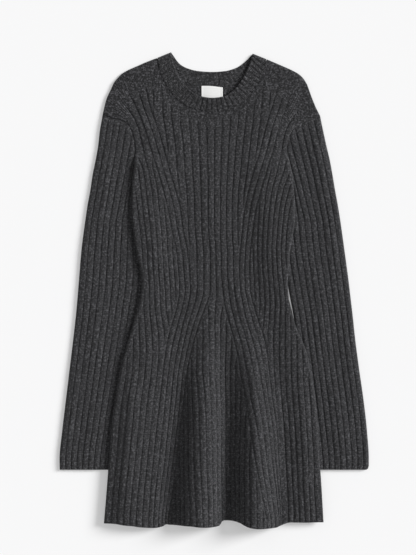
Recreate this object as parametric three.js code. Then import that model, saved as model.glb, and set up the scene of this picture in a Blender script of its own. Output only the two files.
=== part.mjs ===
import * as THREE from "three";

// A rib knit sweater dress, laid flat on its back with its arms at its sides.
// Sizes are millimetres. In the tables x runs to the right from the middle of the dress and y up
// from the waist, as seen from above; z is the height over the surface that the dress lies on.

// Cloth
const WALL = 2.4; // knit between its ribs
const RIB_HEIGHT = 1.4; // how far a rib stands out of the wall
const FINE_RIB_HEIGHT = 0.9; // the neckband's ribs
const LAYER_GAP = 0.4; // between a layer and the one it lies on
const SEAM_GAP = 0.35; // between pieces linked edge to edge
const EDGE_WALL = 0.9; // what is left of the wall where an edge is rounded off
const FOLD_REACH = 3.2; // a folded tube is rounded off over this distance from its fold
const UPPER = WALL + LAYER_GAP; // inside of an upper layer that lies on a lower one
const FOLD_LEVEL = UPPER - LAYER_GAP / 2; // where the two layers of a folded tube meet
const KNIT_COLOUR = 0x37373a;
const LABEL_COLOUR = 0xebebe8;

// Ribs
const RIB_SHOULDERS = [0.28, 0.72]; // a rib's crown, as shares of the way from valley to valley
const SHORTEST_RIB = 0.45; // a rib cut off by an edge is at least this share of the pitch
const GORE_PITCH = 10.6;
const FAN_RIBS_LEFT = 4; // from the left fan's inner line to the gore
const FAN_RIBS_RIGHT = 3;
const SLEEVE_RIBS = 10; // across a sleeve's upper side
const NECK_RIBS = 30; // along the neckband's front half
const NARROW_RIB = 6; // a rib narrower than this is lower

// A table from its columns' names and its rows of numbers
function table(columns, ...rows) {
  return rows.map((row) => Object.fromEntries(columns.map((column, i) => [column, row[i]])));
}

// The body's sides, from the armholes to the hem
const BODY_SIDES = [
  { y: 252, left: -143, right: 132 },
  { y: 236, left: -143.3, right: 134.6 },
  { y: 220, left: -144, right: 138 },
  { y: 198, left: -147, right: 142 },
  { y: 162, left: -148, right: 145 },
  { y: 126, left: -148, right: 145 },
  { y: 99, left: -144, right: 142 },
  { y: 72, left: -140, right: 137 },
  { y: 45, left: -134, right: 135 },
  { y: 18, left: -130, right: 133 },
  { y: -11, left: -132, right: 134 },
  { y: -36, left: -138, right: 140 },
  { y: -63, left: -146, right: 146 },
  { y: -90, left: -154, right: 158 },
  { y: -117, left: -162, right: 168 },
  { y: -153, left: -170, right: 175 },
  { y: -198, left: -177, right: 182 },
  { y: -252, left: -185, right: 187 },
  { y: -306, left: -189, right: 190 },
  { y: -360, left: -193, right: 193 },
  { y: -421, left: -198, right: 195 },
];

// The hem line of the front
const HEM = [
  { x: -198, y: -418 },
  { x: -178, y: -419 },
  { x: -160, y: -423 },
  { x: -133, y: -427 },
  { x: -106, y: -427 },
  { x: -83, y: -421 },
  { x: -61, y: -423 },
  { x: -16, y: -427 },
  { x: 2, y: -425 },
  { x: 20, y: -414 },
  { x: 38, y: -416 },
  { x: 56, y: -423 },
  { x: 86, y: -428 },
  { x: 110, y: -427 },
  { x: 128, y: -419 },
  { x: 155, y: -418 },
  { x: 194, y: -416 },
];

// Valleys between ribs that guide the rest: two lines each side where ribs of different slopes
// meet, the gore's edges, one line among the right side's ribs, and the side ribs' pitch
const RIB_GUIDES = table(
  ["y", "fanLeft", "midLeft", "goreLeft", "goreRight", "midRight", "fanRight", "sideRib",
   "pitchLeft", "pitchRight"],
  [252, -113, -70, -14, 13, 50, 94, 132, 7.6, 9.5],
  [207, -99, -66, -13, 11, 46, 84, 123, 8.5, 9.4],
  [162, -92, -61, -11, 11, 42, 76, 116, 9.4, 9.4],
  [72, -85, -53, -8, 11, 38, 65, 113, 9, 8.6],
  [0, -81, -53, -9, 15, 46, 66, 118, 9, 9],
  [-27, -77, -58, -15, 19, 52, 71, 118, 9.2, 9.2],
  [-54, -74, -64, -25, 26, 58, 79, 118, 9.6, 9.5],
  [-81, -81, -70, -33, 34, 66, 88, 117, 10.6, 10.4],
  [-108, -87, -76, -40, 41, 73, 94, 117, 10.8, 10.4],
  [-153, -93, -82, -49, 50, 82, 99, 118, 10.4, 10.2],
  [-198, -98, -87, -53, 58, 89, 104, 121, 10.6, 10.2],
  [-252, -104, -92, -60, 67, 97, 112, 126, 10.8, 9.9],
  [-306, -110, -98, -67, 74, 103, 115, 129, 11, 9.9],
  [-360, -115, -104, -75, 84, 110, 119, 132, 11.2, 9.6],
  [-405, -118, -107, -83, 93, 115, 122, 134, 11.3, 9.7],
);
// Ribs between fanLeft and midLeft, and between midRight and fanRight, from this height down
const MERGING_RIBS_LEFT = [
  { y: 500, ribs: 5 },
  { y: 300, ribs: 4 },
  { y: 226, ribs: 3 },
  { y: -14, ribs: 2 },
  { y: -40, ribs: 1 },
];
const MERGING_RIBS_RIGHT = [
  { y: 500, ribs: 5 },
  { y: 300, ribs: 4 },
  { y: 200, ribs: 3 },
  { y: 30, ribs: 2 },
  { y: -342, ribs: 1 },
];

// The skirt's three soft folds, left, middle and right: where each starts, is highest from and to,
// and how high it is, with the valleys between them. flat is how high the cloth stays in between.
const SKIRT_FOLDS = table(
  ["y", "leftStart", "leftFrom", "leftTo", "leftHigh", "valleyOne", "middleFrom", "middleTo",
   "middleHigh", "valleyTwo", "rightFrom", "rightTo", "rightHigh", "rightEnd", "flat"],
  [-18, -133, -101, -76, 0, -47, -18, -4, 0, 16, 50, 72, 0, 112, 0],
  [-72, -133, -101, -76, 1, -47, -18, -4, 3, 16, 50, 72, 4, 112, 0],
  [-198, -171, -130, -92, 7, -61, -29, -5, 20, 22, 65, 85, 22, 128, 1],
  [-306, -182, -140, -101, 11, -70, -36, -7, 27, 23, 63, 88, 29, 130, 1.5],
  [-430, -191, -148, -108, 14, -79, -45, -12, 31, 22, 60, 89, 33, 131, 2],
);

const FOLD_BROW = 0.85; // how high a fold already is at its from and to

// Shoulders, from the armhole seam up to the neckband
const SHOULDER_LEFT = [
  { x: -201.5, y: 316 },
  { x: -194.5, y: 345 },
  { x: -187, y: 360 },
  { x: -180, y: 374 },
  { x: -172.5, y: 383 },
  { x: -165.5, y: 390 },
  { x: -151, y: 398 },
  { x: -137, y: 404 },
  { x: -122.5, y: 410.5 },
  { x: -101.7, y: 418.5 },
];
const SHOULDER_RIGHT = [
  { x: 94.5, y: 416 },
  { x: 122.5, y: 403 },
  { x: 137, y: 396 },
  { x: 151, y: 389 },
  { x: 158.5, y: 382 },
  { x: 165.5, y: 371 },
  { x: 173, y: 353 },
  { x: 180, y: 335 },
  { x: 189, y: 313.5 },
];

// Armhole seams, from the shoulder to where they turn under the body. Each row is also an end of a
// row across the yoke, and yoke is how far down the yoke that row runs, from 0 to 1.
const ARMHOLE_LEFT = [
  { yoke: 0, x: -201.5, y: 316 },
  { yoke: 0.06, x: -197.8, y: 314 },
  { yoke: 0.2, x: -185.5, y: 309.5 },
  { yoke: 0.38, x: -169, y: 306 },
  { yoke: 0.55, x: -156.5, y: 300 },
  { yoke: 0.7, x: -148.5, y: 286.5 },
  { yoke: 0.85, x: -144.5, y: 268.5 },
  { yoke: 1, x: -143, y: 252 },
];
const ARMHOLE_RIGHT = [
  { yoke: 0, x: 189, y: 313.5 },
  { yoke: 0.06, x: 185.5, y: 311.6 },
  { yoke: 0.2, x: 172, y: 306.5 },
  { yoke: 0.38, x: 155.5, y: 300 },
  { yoke: 0.55, x: 143, y: 291.5 },
  { yoke: 0.7, x: 136, y: 279 },
  { yoke: 0.85, x: 133, y: 266 },
  { yoke: 1, x: 132, y: 252 },
];

// Where the guides start on the top edge
const TOP_GUIDES = {
  fanLeft: -165.5,
  midLeft: -82,
  goreLeft: -14,
  goreRight: 13,
  midRight: 60,
  fanRight: 138,
};

// The neckband's free edge and its seam, in a front half and a back half, from fold to fold
const NECK_FRONT = [
  { freeX: -77.5, freeY: 428.5, seamX: -101.7, seamY: 418.5 },
  { freeX: -75.5, freeY: 417.5, seamX: -97.5, seamY: 396 },
  { freeX: -65, freeY: 389.5, seamX: -88.5, seamY: 374 },
  { freeX: -45, freeY: 362, seamX: -63.5, seamY: 342 },
  { freeX: -24, freeY: 351, seamX: -33, seamY: 325.5 },
  { freeX: -3.5, freeY: 347.5, seamX: -3.5, seamY: 320.5 },
  { freeX: 17.5, freeY: 351, seamX: 26, seamY: 325.5 },
  { freeX: 38, freeY: 363.5, seamX: 56.5, seamY: 342 },
  { freeX: 56, freeY: 389.5, seamX: 81, seamY: 374 },
  { freeX: 68.5, freeY: 417.5, seamX: 90.5, seamY: 396 },
  { freeX: 71.5, freeY: 425.5, seamX: 94.5, seamY: 416 },
];
const NECK_BACK = [
  { freeX: 71.5, freeY: 425.5, seamX: 94.5, seamY: 416 },
  { freeX: 57, freeY: 411, seamX: 84, seamY: 395 },
  { freeX: 41, freeY: 401, seamX: 64, seamY: 378 },
  { freeX: 19, freeY: 394.3, seamX: 29, seamY: 370.5 },
  { freeX: -3.5, freeY: 392.5, seamX: -3.5, seamY: 368.5 },
  { freeX: -28, freeY: 394, seamX: -36, seamY: 370.5 },
  { freeX: -47, freeY: 398.5, seamX: -71, seamY: 378 },
  { freeX: -61, freeY: 405.5, seamX: -91, seamY: 395 },
  { freeX: -77.5, freeY: 428.5, seamX: -101.7, seamY: 418.5 },
];
const NECKBAND_ROWS = [
  { across: 0, wall: 0.4 },
  { across: 0.1, wall: 1 },
  { across: 0.6, wall: 1 },
  { across: 0.975, wall: 0.8 },
];
const NECK_FOLD_STEP = 0.005; // the first point in from the neckband's fold, as a share of its half
const NECK_LIFT = 2.2; // the front of the neckband's free edge stands this far up
const NECK_LIFT_POWER = 1.5;
const NECK_SEAM_WALL = 1.9; // the front's wall at the neck seam
const NECK_FRONT_INSIDES = 14; // points along the inside of the neckband's front half
const NECK_BACKS = 11; // and along its back half
const NECK_BACK_EXTRA_WALL = 0.2;

// Sleeves: their outer edge, and their inner edge, which lies under the body's side
const SLEEVE_LEFT = [
  { y: 316, outer: -201.5, inner: -121 },
  { y: 288, outer: -206.5, inner: -121 },
  { y: 261, outer: -209.5, inner: -121 },
  { y: 234, outer: -214, inner: -121 },
  { y: 207, outer: -219, inner: -121 },
  { y: 180, outer: -223, inner: -121.5 },
  { y: 153, outer: -228, inner: -122 },
  { y: 126, outer: -232, inner: -122 },
  { y: 72, outer: -239, inner: -122 },
  { y: 18, outer: -243.5, inner: -123 },
  { y: -36, outer: -248, inner: -131 },
  { y: -90, outer: -254, inner: -140 },
  { y: -144, outer: -260.5, inner: -149 },
  { y: -198, outer: -267, inner: -158 },
  { y: -252, outer: -273.5, inner: -166.5 },
  { y: -306, outer: -278.5, inner: -174.5 },
  { y: -324, outer: -278, inner: -177 },
];
const SLEEVE_RIGHT = [
  { y: 313.5, outer: 189, inner: 118 },
  { y: 288, outer: 194, inner: 118 },
  { y: 261, outer: 200, inner: 118 },
  { y: 234, outer: 206.5, inner: 118 },
  { y: 207, outer: 211.5, inner: 118 },
  { y: 180, outer: 216, inner: 118 },
  { y: 153, outer: 221, inner: 118 },
  { y: 126, outer: 225, inner: 119 },
  { y: 72, outer: 232, inner: 123 },
  { y: 18, outer: 239.5, inner: 131.5 },
  { y: -11, outer: 243, inner: 136.5 },
  { y: -43, outer: 247, inner: 142.5 },
  { y: -90, outer: 252.5, inner: 149 },
  { y: -144, outer: 259.5, inner: 156 },
  { y: -198, outer: 267, inner: 162.5 },
  { y: -252, outer: 273.5, inner: 169 },
  { y: -306, outer: 277, inner: 175 },
  { y: -324, outer: 276, inner: 176.5 },
];
// Where the sleeve's ribs meet the armhole seam, and the seam's way on under the body
const SLEEVE_HEAD_LEFT = [
  { rib: 0, x: -201.5, y: 316 },
  { rib: 1.4, x: -185.5, y: 309.5 },
  { rib: 3, x: -169, y: 306 },
  { rib: 4.1, x: -156.5, y: 300 },
  { rib: 4.9, x: -148.5, y: 286.5 },
  { rib: 5.4, x: -144.5, y: 268.5 },
  { rib: 5.8, x: -143, y: 252 },
  { rib: 6.6, x: -143.3, y: 236 },
  { rib: 7.3, x: -144, y: 220 },
  { rib: 8.4, x: -138, y: 204 },
  { rib: 9.3, x: -129, y: 186 },
  { rib: 10, x: -121.5, y: 166 },
];
const SLEEVE_HEAD_RIGHT = [
  { rib: 0, x: 189, y: 313.5 },
  { rib: 1.5, x: 172, y: 306.5 },
  { rib: 3.1, x: 155.5, y: 300 },
  { rib: 4.2, x: 143, y: 291.5 },
  { rib: 4.9, x: 136, y: 279 },
  { rib: 5.3, x: 133, y: 266 },
  { rib: 5.8, x: 132, y: 252 },
  { rib: 6.6, x: 134.6, y: 236 },
  { rib: 7.3, x: 138, y: 220 },
  { rib: 8.4, x: 133, y: 204 },
  { rib: 9.3, x: 125, y: 186 },
  { rib: 10, x: 118, y: 166 },
];
const SLEEVE_STRAIGHT = 126; // below this height a sleeve's rows run straight across
const SLEEVE_HEAD_ROWS = [0, 0.12, 0.34, 0.6, 0.82];
const SLEEVE_ROWS = [126, 62, 0, -60, -120, -180, -240, -300, -319, -324];
const SLEEVE_FOLD_STEP = 0.9; // the first point in from a fold
const SLEEVE_INSET = 2.6; // a fold's inside from its outside
// Rib numbers of the points on the sleeve's plain sides
const SLEEVE_PLAIN = [0.6, 1.4, 3, 4.1, 4.9, 5.8, 7.3, 8.4, 9.4];
const SLEEVE_HEAD_WALL = 0.8; // what is left of the upper wall at the armhole, as a share
const CUFF_WALL = 0.4; // and at the cuff's edge

// The body lies over the sleeves: this far from a sleeve's edge its layers start to rise
const OVER_SLEEVE = UPPER + WALL + RIB_HEIGHT + 0.3;
const RISE = 22;
const RISE_CLEAR = 2;
const FRONT_RISE_AHEAD = 5; // the front starts to rise sooner than the back below it
const RISE_STARTS = 252; // heights between which the rise sets in, under the armholes
const RISE_FULL = 221;

// Rows across the body, below the yoke
const BODY_ROWS = [
  252, 236, 220, 190, 150, 110, 72, 36, 4, -18, -42, -66, -92, -130, -176, -228, -286, -346, -404,
];
const HEM_ROW_STARTS = -270; // rows below this height bend to follow the hem
const LAST_ROW = -421;
const FRONT_ROWS = [...BODY_ROWS, -416, LAST_ROW];
const BACK_HEM = -409; // the back's hem lies behind the front's
const BACK_HEM_BLEND = 40;
const BACK_HEM_SHORTER = 2; // the back's hem lies this far inside the front's at its sides
const HEM_RIBS = 0.3; // what is left of the ribs' height on the hem's edge
const RIB_SETS_IN = { neck: 0.1, shoulder: 0.35 }; // shares of the yoke over which the ribs rise
const SEAM_PULL = 6; // how fast the back's columns turn straight away from the armhole seams
const GORE_STEPS = 120;
// Where the back's columns start on its top edge, five of them on each shoulder
const BACK_TOP_COLUMNS = [
  -201.5, -187, -172.5, -137, -101.7, -91, -71, -36, -3.5, 29, 64, 84, 94.5, 130, 158.5, 173, 189,
];

// The back neck label
const LABEL = { left: -23.5, right: 17, top: 367.5, bottom: 345.5, thick: 0.5, bow: 0.7, steps: 8 };
const LABEL_GAP = 0.3;

// Working out curves from the tables

const lerp = (a, b, share) => a + (b - a) * share;

function smoothStep(share) {
  const s = Math.min(1, Math.max(0, share));
  return s * s * (3 - 2 * s);
}

// A smooth curve through two columns of a table, which never overshoots its rows
function curve(rows, key, column) {
  const points = rows.map((row) => [row[key], row[column]]).sort((a, b) => a[0] - b[0]);
  const steps = points.slice(1).map((p, i) => (p[1] - points[i][1]) / (p[0] - points[i][0]));
  const slopes = points.map((p, i) => {
    if (i === 0) return steps[0];
    if (i === points.length - 1) return steps[i - 1];
    const [before, after] = [steps[i - 1], steps[i]];
    return before * after <= 0 ? 0 : (2 * before * after) / (before + after);
  });
  return (at) => {
    let i = points.findIndex((p) => p[0] > at) - 1;
    if (i === -2) i = points.length - 2;
    i = Math.max(i, 0);
    const width = points[i + 1][0] - points[i][0];
    const t = Math.min(1, Math.max(0, (at - points[i][0]) / width));
    const rest = 1 - t;
    return (
      points[i][1] * (1 + 2 * t) * rest * rest +
      points[i + 1][1] * t * t * (3 - 2 * t) +
      slopes[i] * width * t * rest * rest -
      slopes[i + 1] * width * t * t * rest
    );
  };
}

// Every column of a table as a curve
function curves(rows, key) {
  const names = Object.keys(rows[0]).filter((name) => name !== key);
  return Object.fromEntries(names.map((name) => [name, curve(rows, key, name)]));
}

// Straight lines through two columns of a table
function chain(rows, key, column) {
  return (at) => {
    let i = rows.findIndex((row) => row[key] >= at);
    i = i === -1 ? rows.length - 1 : Math.max(i, 1);
    const share = (at - rows[i - 1][key]) / (rows[i][key] - rows[i - 1][key]);
    return lerp(rows[i - 1][column], rows[i][column], share);
  };
}

function chains(rows, key) {
  return Object.fromEntries(Object.keys(rows[0]).map((name) => [name, chain(rows, key, name)]));
}

const side = curves(BODY_SIDES, "y");
const guide = curves(RIB_GUIDES, "y");
const fold = curves(SKIRT_FOLDS, "y");
const hemLine = curve(HEM, "x", "y");
const sleeveLeft = curves(SLEEVE_LEFT, "y");
const sleeveRight = curves(SLEEVE_RIGHT, "y");

function ribsFrom(steps, y) {
  return steps.filter((step) => y <= step.y).at(-1).ribs;
}

// Heights of the cloth

// How high the skirt's folds lift the front
const foldProfiles = new Map();

function foldProfile(y) {
  const crest = (from, to, high) => [
    { x: from, z: FOLD_BROW * high },
    { x: (from + to) / 2, z: high },
    { x: to, z: FOLD_BROW * high },
  ];
  return curve(
    [
      { x: fold.leftStart(y), z: 0 },
      ...crest(fold.leftFrom(y), fold.leftTo(y), fold.leftHigh(y)),
      { x: fold.valleyOne(y), z: fold.flat(y) },
      ...crest(fold.middleFrom(y), fold.middleTo(y), fold.middleHigh(y)),
      { x: fold.valleyTwo(y), z: fold.flat(y) / 2 },
      ...crest(fold.rightFrom(y), fold.rightTo(y), fold.rightHigh(y)),
      { x: fold.rightEnd(y), z: fold.flat(y) },
      { x: side.right(y), z: 0 },
    ],
    "x",
    "z",
  );
}

function foldHeight(x, y) {
  if (y >= SKIRT_FOLDS[0].y) return 0;
  if (!foldProfiles.has(y)) foldProfiles.set(y, foldProfile(y));
  return foldProfiles.get(y)(x);
}

// How high the sleeves lift the body that lies over them
function riseOverSleeves(x, y, ahead) {
  const under = smoothStep((RISE_STARTS - y) / (RISE_STARTS - RISE_FULL));
  const fromLeft = (sleeveLeft.inner(y) + RISE_CLEAR + RISE + ahead - x) / RISE;
  const fromRight = (x - sleeveRight.inner(y) + RISE_CLEAR + RISE + ahead) / RISE;
  return OVER_SLEEVE * under * smoothStep(Math.max(fromLeft, fromRight));
}

function frontInside(x, y) {
  return UPPER + riseOverSleeves(x, y, FRONT_RISE_AHEAD) + foldHeight(x, y);
}

// The point that far out of the front's inside, square to it
function outOfFront(x, y, out) {
  const step = 0.5;
  const slope = new THREE.Vector3(
    frontInside(x - step, y) - frontInside(x + step, y),
    frontInside(x, y - step) - frontInside(x, y + step),
    2 * step,
  ).normalize();
  return [x + slope.x * out, y + slope.y * out, frontInside(x, y) + slope.z * out];
}

// Rows of points and the surfaces between them. A point has a key, and a point of the next row
// with the same key carries on the same line along the cloth.

const distance = (p, q) => Math.hypot(p.at[0] - q.at[0], p.at[1] - q.at[1], p.at[2] - q.at[2]);

// Triangles between two stretches of points, across the shorter way each time
function joinStretch(a, b, triangles) {
  let [i, j] = [0, 0];
  while (i < a.length - 1 || j < b.length - 1) {
    const canA = i < a.length - 1;
    const canB = j < b.length - 1;
    if (canA && (!canB || distance(a[i + 1], b[j]) <= distance(a[i], b[j + 1]))) {
      triangles.push([a[i], a[i + 1], b[j]]);
      i += 1;
    } else {
      triangles.push([a[i], b[j + 1], b[j]]);
      j += 1;
    }
  }
}

// Triangles between two rows, whose ends meet and whose points with the same key meet
function stitch(rowA, rowB, triangles) {
  const placesB = new Map(rowB.slice(1, -1).map((point, j) => [point.key, j + 1]));
  let [fromA, fromB] = [0, 0];
  for (let i = 1; i < rowA.length; i += 1) {
    const j = i === rowA.length - 1 ? rowB.length - 1 : placesB.get(rowA[i].key);
    if (j !== undefined && j > fromB) {
      joinStretch(rowA.slice(fromA, i + 1), rowB.slice(fromB, j + 1), triangles);
      [fromA, fromB] = [i, j];
    }
  }
}

// A closed mesh from triangles of points, its faces turned outward
function closedMesh(name, triangles, colour) {
  const numbers = new Map();
  const positions = [];
  const number = (point) => {
    if (!numbers.has(point)) {
      numbers.set(point, positions.length / 3);
      positions.push(...point.at);
    }
    return numbers.get(point);
  };
  const faces = triangles.map((points) => points.map(number));
  const corner = (n) => new THREE.Vector3().fromArray(positions, 3 * n);
  const sixth = ([a, b, c]) => corner(a).dot(corner(b).cross(corner(c)));
  const volume = faces.reduce((sum, face) => sum + sixth(face), 0);
  const geometry = new THREE.BufferGeometry();
  geometry.setAttribute("position", new THREE.Float32BufferAttribute(positions, 3));
  geometry.setIndex(faces.flatMap(([a, b, c]) => (volume > 0 ? [a, b, c] : [a, c, b])));
  geometry.computeVertexNormals();
  const material = new THREE.MeshStandardMaterial({ color: colour, roughness: 0.95, metalness: 0 });
  const mesh = new THREE.Mesh(geometry, material);
  mesh.name = name;
  return mesh;
}

// A flat wall, from rows that each have outer points and inner points from left to right
function wall(name, rows, colour = KNIT_COLOUR) {
  const triangles = [];
  for (let i = 1; i < rows.length; i += 1) {
    stitch(rows[i - 1].outer, rows[i].outer, triangles);
    stitch(rows[i].inner, rows[i - 1].inner, triangles);
  }
  stitch(rows[0].inner, rows[0].outer, triangles);
  stitch(rows.at(-1).outer, rows.at(-1).inner, triangles);
  const ladder = (a, b) => {
    for (let i = 1; i < rows.length; i += 1) {
      triangles.push([a(i - 1), a(i), b(i - 1)], [a(i), b(i), b(i - 1)]);
    }
  };
  ladder((i) => rows[i].outer[0], (i) => rows[i].inner[0]);
  ladder((i) => rows[i].inner.at(-1), (i) => rows[i].outer.at(-1));
  return closedMesh(name, triangles, colour);
}

// A tube wall, from rows that each have an outer ring and an inner ring
function tube(name, rows) {
  const triangles = [];
  const closed = (ring) => [...ring, ring[0]];
  for (let i = 1; i < rows.length; i += 1) {
    stitch(closed(rows[i - 1].outer), closed(rows[i].outer), triangles);
    stitch(closed(rows[i].inner), closed(rows[i - 1].inner), triangles);
  }
  stitch(closed(rows[0].inner), closed(rows[0].outer), triangles);
  stitch(closed(rows.at(-1).outer), closed(rows.at(-1).inner), triangles);
  return closedMesh(name, triangles, KNIT_COLOUR);
}

// The neck seam and the top edges

// The neckband at a share of the way along its half, and across it from free edge to seam
function neckHalf(rows, through) {
  const lengths = rows.map((row, i) => {
    const before = rows[Math.max(i - 1, 0)];
    const alongX = row.freeX + row.seamX - before.freeX - before.seamX;
    const alongY = row.freeY + row.seamY - before.freeY - before.seamY;
    return Math.hypot(alongX, alongY);
  });
  let total = 0;
  const along = rows.map((row, i) => ({ ...row, along: (total += lengths[i]) }));
  const at = through(along, "along");
  return (share, across) => [
    lerp(at.freeX(share * total), at.seamX(share * total), across),
    lerp(at.freeY(share * total), at.seamY(share * total), across),
  ];
}
const neckFront = neckHalf(NECK_FRONT, curves);
const neckBack = neckHalf(NECK_BACK, chains);

// Where the neck seam crosses an x, for a half that runs from left to right
function seamHeight(half, x) {
  let [low, high] = [0, 1];
  while (high - low > 1e-5) {
    const middle = (low + high) / 2;
    if (half(middle, 1)[0] < x) low = middle;
    else high = middle;
  }
  return half(low, 1)[1];
}

const shoulderLeft = curve(SHOULDER_LEFT, "x", "y");
const shoulderRight = curve(SHOULDER_RIGHT, "x", "y");

function topEdge(half, x) {
  if (x <= SHOULDER_LEFT.at(-1).x) return shoulderLeft(x);
  if (x >= SHOULDER_RIGHT[0].x) return shoulderRight(x);
  return seamHeight(half, x);
}

// A point across the yoke: from and to are the strip's edges, each with its top x and its foot,
// share is the way across the strip, and down the way down the yoke
function inYoke(from, to, share, down, half) {
  const edgeAt = (edge) => {
    if (edge.seam) return [edge.seam.x(down), edge.seam.y(down)];
    const foot = [edge.foot, BODY_ROWS[0]];
    return [lerp(edge.top, foot[0], down), lerp(topEdge(half, edge.top), foot[1], down)];
  };
  const [a, b] = [edgeAt(from), edgeAt(to)];
  const topX = lerp(from.top, to.top, share);
  const bulge = topEdge(half, topX) - lerp(topEdge(half, from.top), topEdge(half, to.top), share);
  return [lerp(a[0], b[0], share), lerp(a[1], b[1], share) + bulge * (1 - down) ** 2];
}

const seamPath = (rows) => ({ x: chain(rows, "yoke", "x"), y: chain(rows, "yoke", "y") });
const armholeLeft = seamPath(ARMHOLE_LEFT);
const armholeRight = seamPath(ARMHOLE_RIGHT);
const YOKE_ROWS = ARMHOLE_LEFT.map((row) => row.yoke).slice(0, -1);

// A height on a body row, which bends to the hem near the hem
function bentToHem(x, y, hem) {
  if (y > HEM_ROW_STARTS) return y;
  return lerp(HEM_ROW_STARTS, hem(x), (y - HEM_ROW_STARTS) / (LAST_ROW - HEM_ROW_STARTS));
}

// The front

const GUIDE_NAMES = ["fanLeft", "midLeft", "goreLeft", "goreRight", "midRight", "fanRight"];

// Shares of the way across the gore where its ribs part, evenly along the folded cloth
function goreShares(from, to, y) {
  const steps = GORE_STEPS;
  const width = (to - from) / steps;
  const length = [0];
  for (let i = 1; i <= steps; i += 1) {
    const rise = foldHeight(from + i * width, y) - foldHeight(from + (i - 1) * width, y);
    length.push(length[i - 1] + Math.hypot(width, rise));
  }
  const middle = length[steps / 2];
  const shares = [];
  const reach = Math.floor(Math.max(middle, length[steps] - middle) / GORE_PITCH);
  for (let k = -reach; k <= reach; k += 1) {
    const target = middle + k * GORE_PITCH;
    const clear = SHORTEST_RIB * GORE_PITCH;
    if (target < clear || target > length[steps] - clear) continue;
    const i = length.findIndex((l) => l > target);
    const between = (target - length[i - 1]) / (length[i] - length[i - 1]);
    shares.push({ key: `gore${k}`, share: (i - 1 + between) / steps });
  }
  return shares;
}

// The strips between the guides at a height, and where the valleys in each lie
function stripsAt(y, countAt = y) {
  const at = Object.fromEntries(GUIDE_NAMES.map((name) => [name, guide[name](y)]));
  const [left, right] = [side.left(y), side.right(y)];
  const [pitchLeft, pitchRight] = [guide.pitchLeft(y), guide.pitchRight(y)];
  const evenly = (key, ribs) =>
    Array.from({ length: ribs }, (_, i) => ({ key: `${key}${i}`, share: i / ribs }));
  const outLeft = [];
  for (let x = at.fanLeft - pitchLeft; x > left + SHORTEST_RIB * pitchLeft; x -= pitchLeft) {
    outLeft.unshift({ key: `left${outLeft.length + 1}`, share: (x - left) / (at.fanLeft - left) });
  }
  const outRight = [];
  const firstRight = Math.ceil((at.fanRight - guide.sideRib(y)) / pitchRight + SHORTEST_RIB);
  for (let k = firstRight; ; k += 1) {
    const x = guide.sideRib(y) + k * pitchRight;
    if (x > right - SHORTEST_RIB * pitchRight) break;
    outRight.push({ key: `right${k}`, share: (x - at.fanRight) / (right - at.fanRight) });
  }
  const mergeLeft = evenly("mergeLeft", ribsFrom(MERGING_RIBS_LEFT, countAt));
  const mergeRight = evenly("mergeRight", ribsFrom(MERGING_RIBS_RIGHT, countAt));
  const gore = [{ key: "gore", share: 0 }, ...goreShares(at.goreLeft, at.goreRight, y)];
  return [
    { from: left, to: at.fanLeft, valleys: [{ key: "edge", share: 0 }, ...outLeft] },
    { from: at.fanLeft, to: at.midLeft, valleys: mergeLeft },
    { from: at.midLeft, to: at.goreLeft, valleys: evenly("fanLeft", FAN_RIBS_LEFT) },
    { from: at.goreLeft, to: at.goreRight, valleys: gore },
    { from: at.goreRight, to: at.midRight, valleys: evenly("fanRight", FAN_RIBS_RIGHT) },
    { from: at.midRight, to: at.fanRight, valleys: mergeRight },
    { from: at.fanRight, to: right, valleys: [{ key: "side", share: 0 }, ...outRight] },
  ];
}

// One row of the front. place gives the point at a share across a strip, thick the wall there and
// ribs how much of their height the ribs have.
function frontRow(strips, place, thick, ribs) {
  const outer = [];
  const inner = [];
  const add = (list, key, spot, out) => list.push({ key, at: outOfFront(...spot, out) });
  strips.forEach((strip, s) => {
    strip.valleys.forEach((valley, i) => {
      const next = i + 1 < strip.valleys.length ? strip.valleys[i + 1].share : 1;
      const spot = place(s, valley.share);
      const edge = s === 0 && i === 0;
      add(outer, valley.key, spot, edge ? Math.min(EDGE_WALL, thick(s)) : thick(s));
      add(inner, valley.key, spot, 0);
      const ahead = place(s, next);
      const climb = frontInside(...ahead) - frontInside(...spot);
      const width = Math.hypot(ahead[0] - spot[0], ahead[1] - spot[1], climb);
      const rise = RIB_HEIGHT * ribs(s) * Math.min(1, width / NARROW_RIB);
      RIB_SHOULDERS.forEach((shoulder, n) => {
        add(outer, `${valley.key}:${n}`, place(s, lerp(valley.share, next, shoulder)), thick(s) + rise);
      });
      if (spot[1] < SKIRT_FOLDS[0].y || spot[1] > BODY_ROWS[0]) {
        add(inner, `${valley.key}:middle`, place(s, lerp(valley.share, next, 0.5)), 0);
      }
    });
  });
  const end = place(strips.length - 1, 1);
  add(outer, "end", end, Math.min(EDGE_WALL, thick(strips.length - 1)));
  add(inner, "end", end, 0);
  return { outer, inner };
}

function frontYokeRow(down) {
  const foot = stripsAt(BODY_ROWS[0]);
  const edges = [
    { seam: armholeLeft, top: ARMHOLE_LEFT[0].x },
    ...GUIDE_NAMES.map((name) => ({ top: TOP_GUIDES[name], foot: guide[name](BODY_ROWS[0]) })),
    { seam: armholeRight, top: ARMHOLE_RIGHT[0].x },
  ];
  const place = (s, share) => inYoke(edges[s], edges[s + 1], share, down, neckFront);
  const strips = foot.map((strip, s) => {
    const middle = place(s, 0.5)[1];
    return stripsAt(BODY_ROWS[0], middle)[s];
  });
  const onNeck = (s) => s > GUIDE_NAMES.indexOf("midLeft") && s <= GUIDE_NAMES.indexOf("midRight");
  const topWall = (s) => (onNeck(s) ? NECK_SEAM_WALL : EDGE_WALL);
  const thick = (s) => (down > 0 ? WALL : topWall(s));
  const ribs = (s) => smoothStep(down / (onNeck(s) ? RIB_SETS_IN.neck : RIB_SETS_IN.shoulder));
  return frontRow(strips, place, thick, down > 0 ? ribs : () => 0);
}

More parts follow.
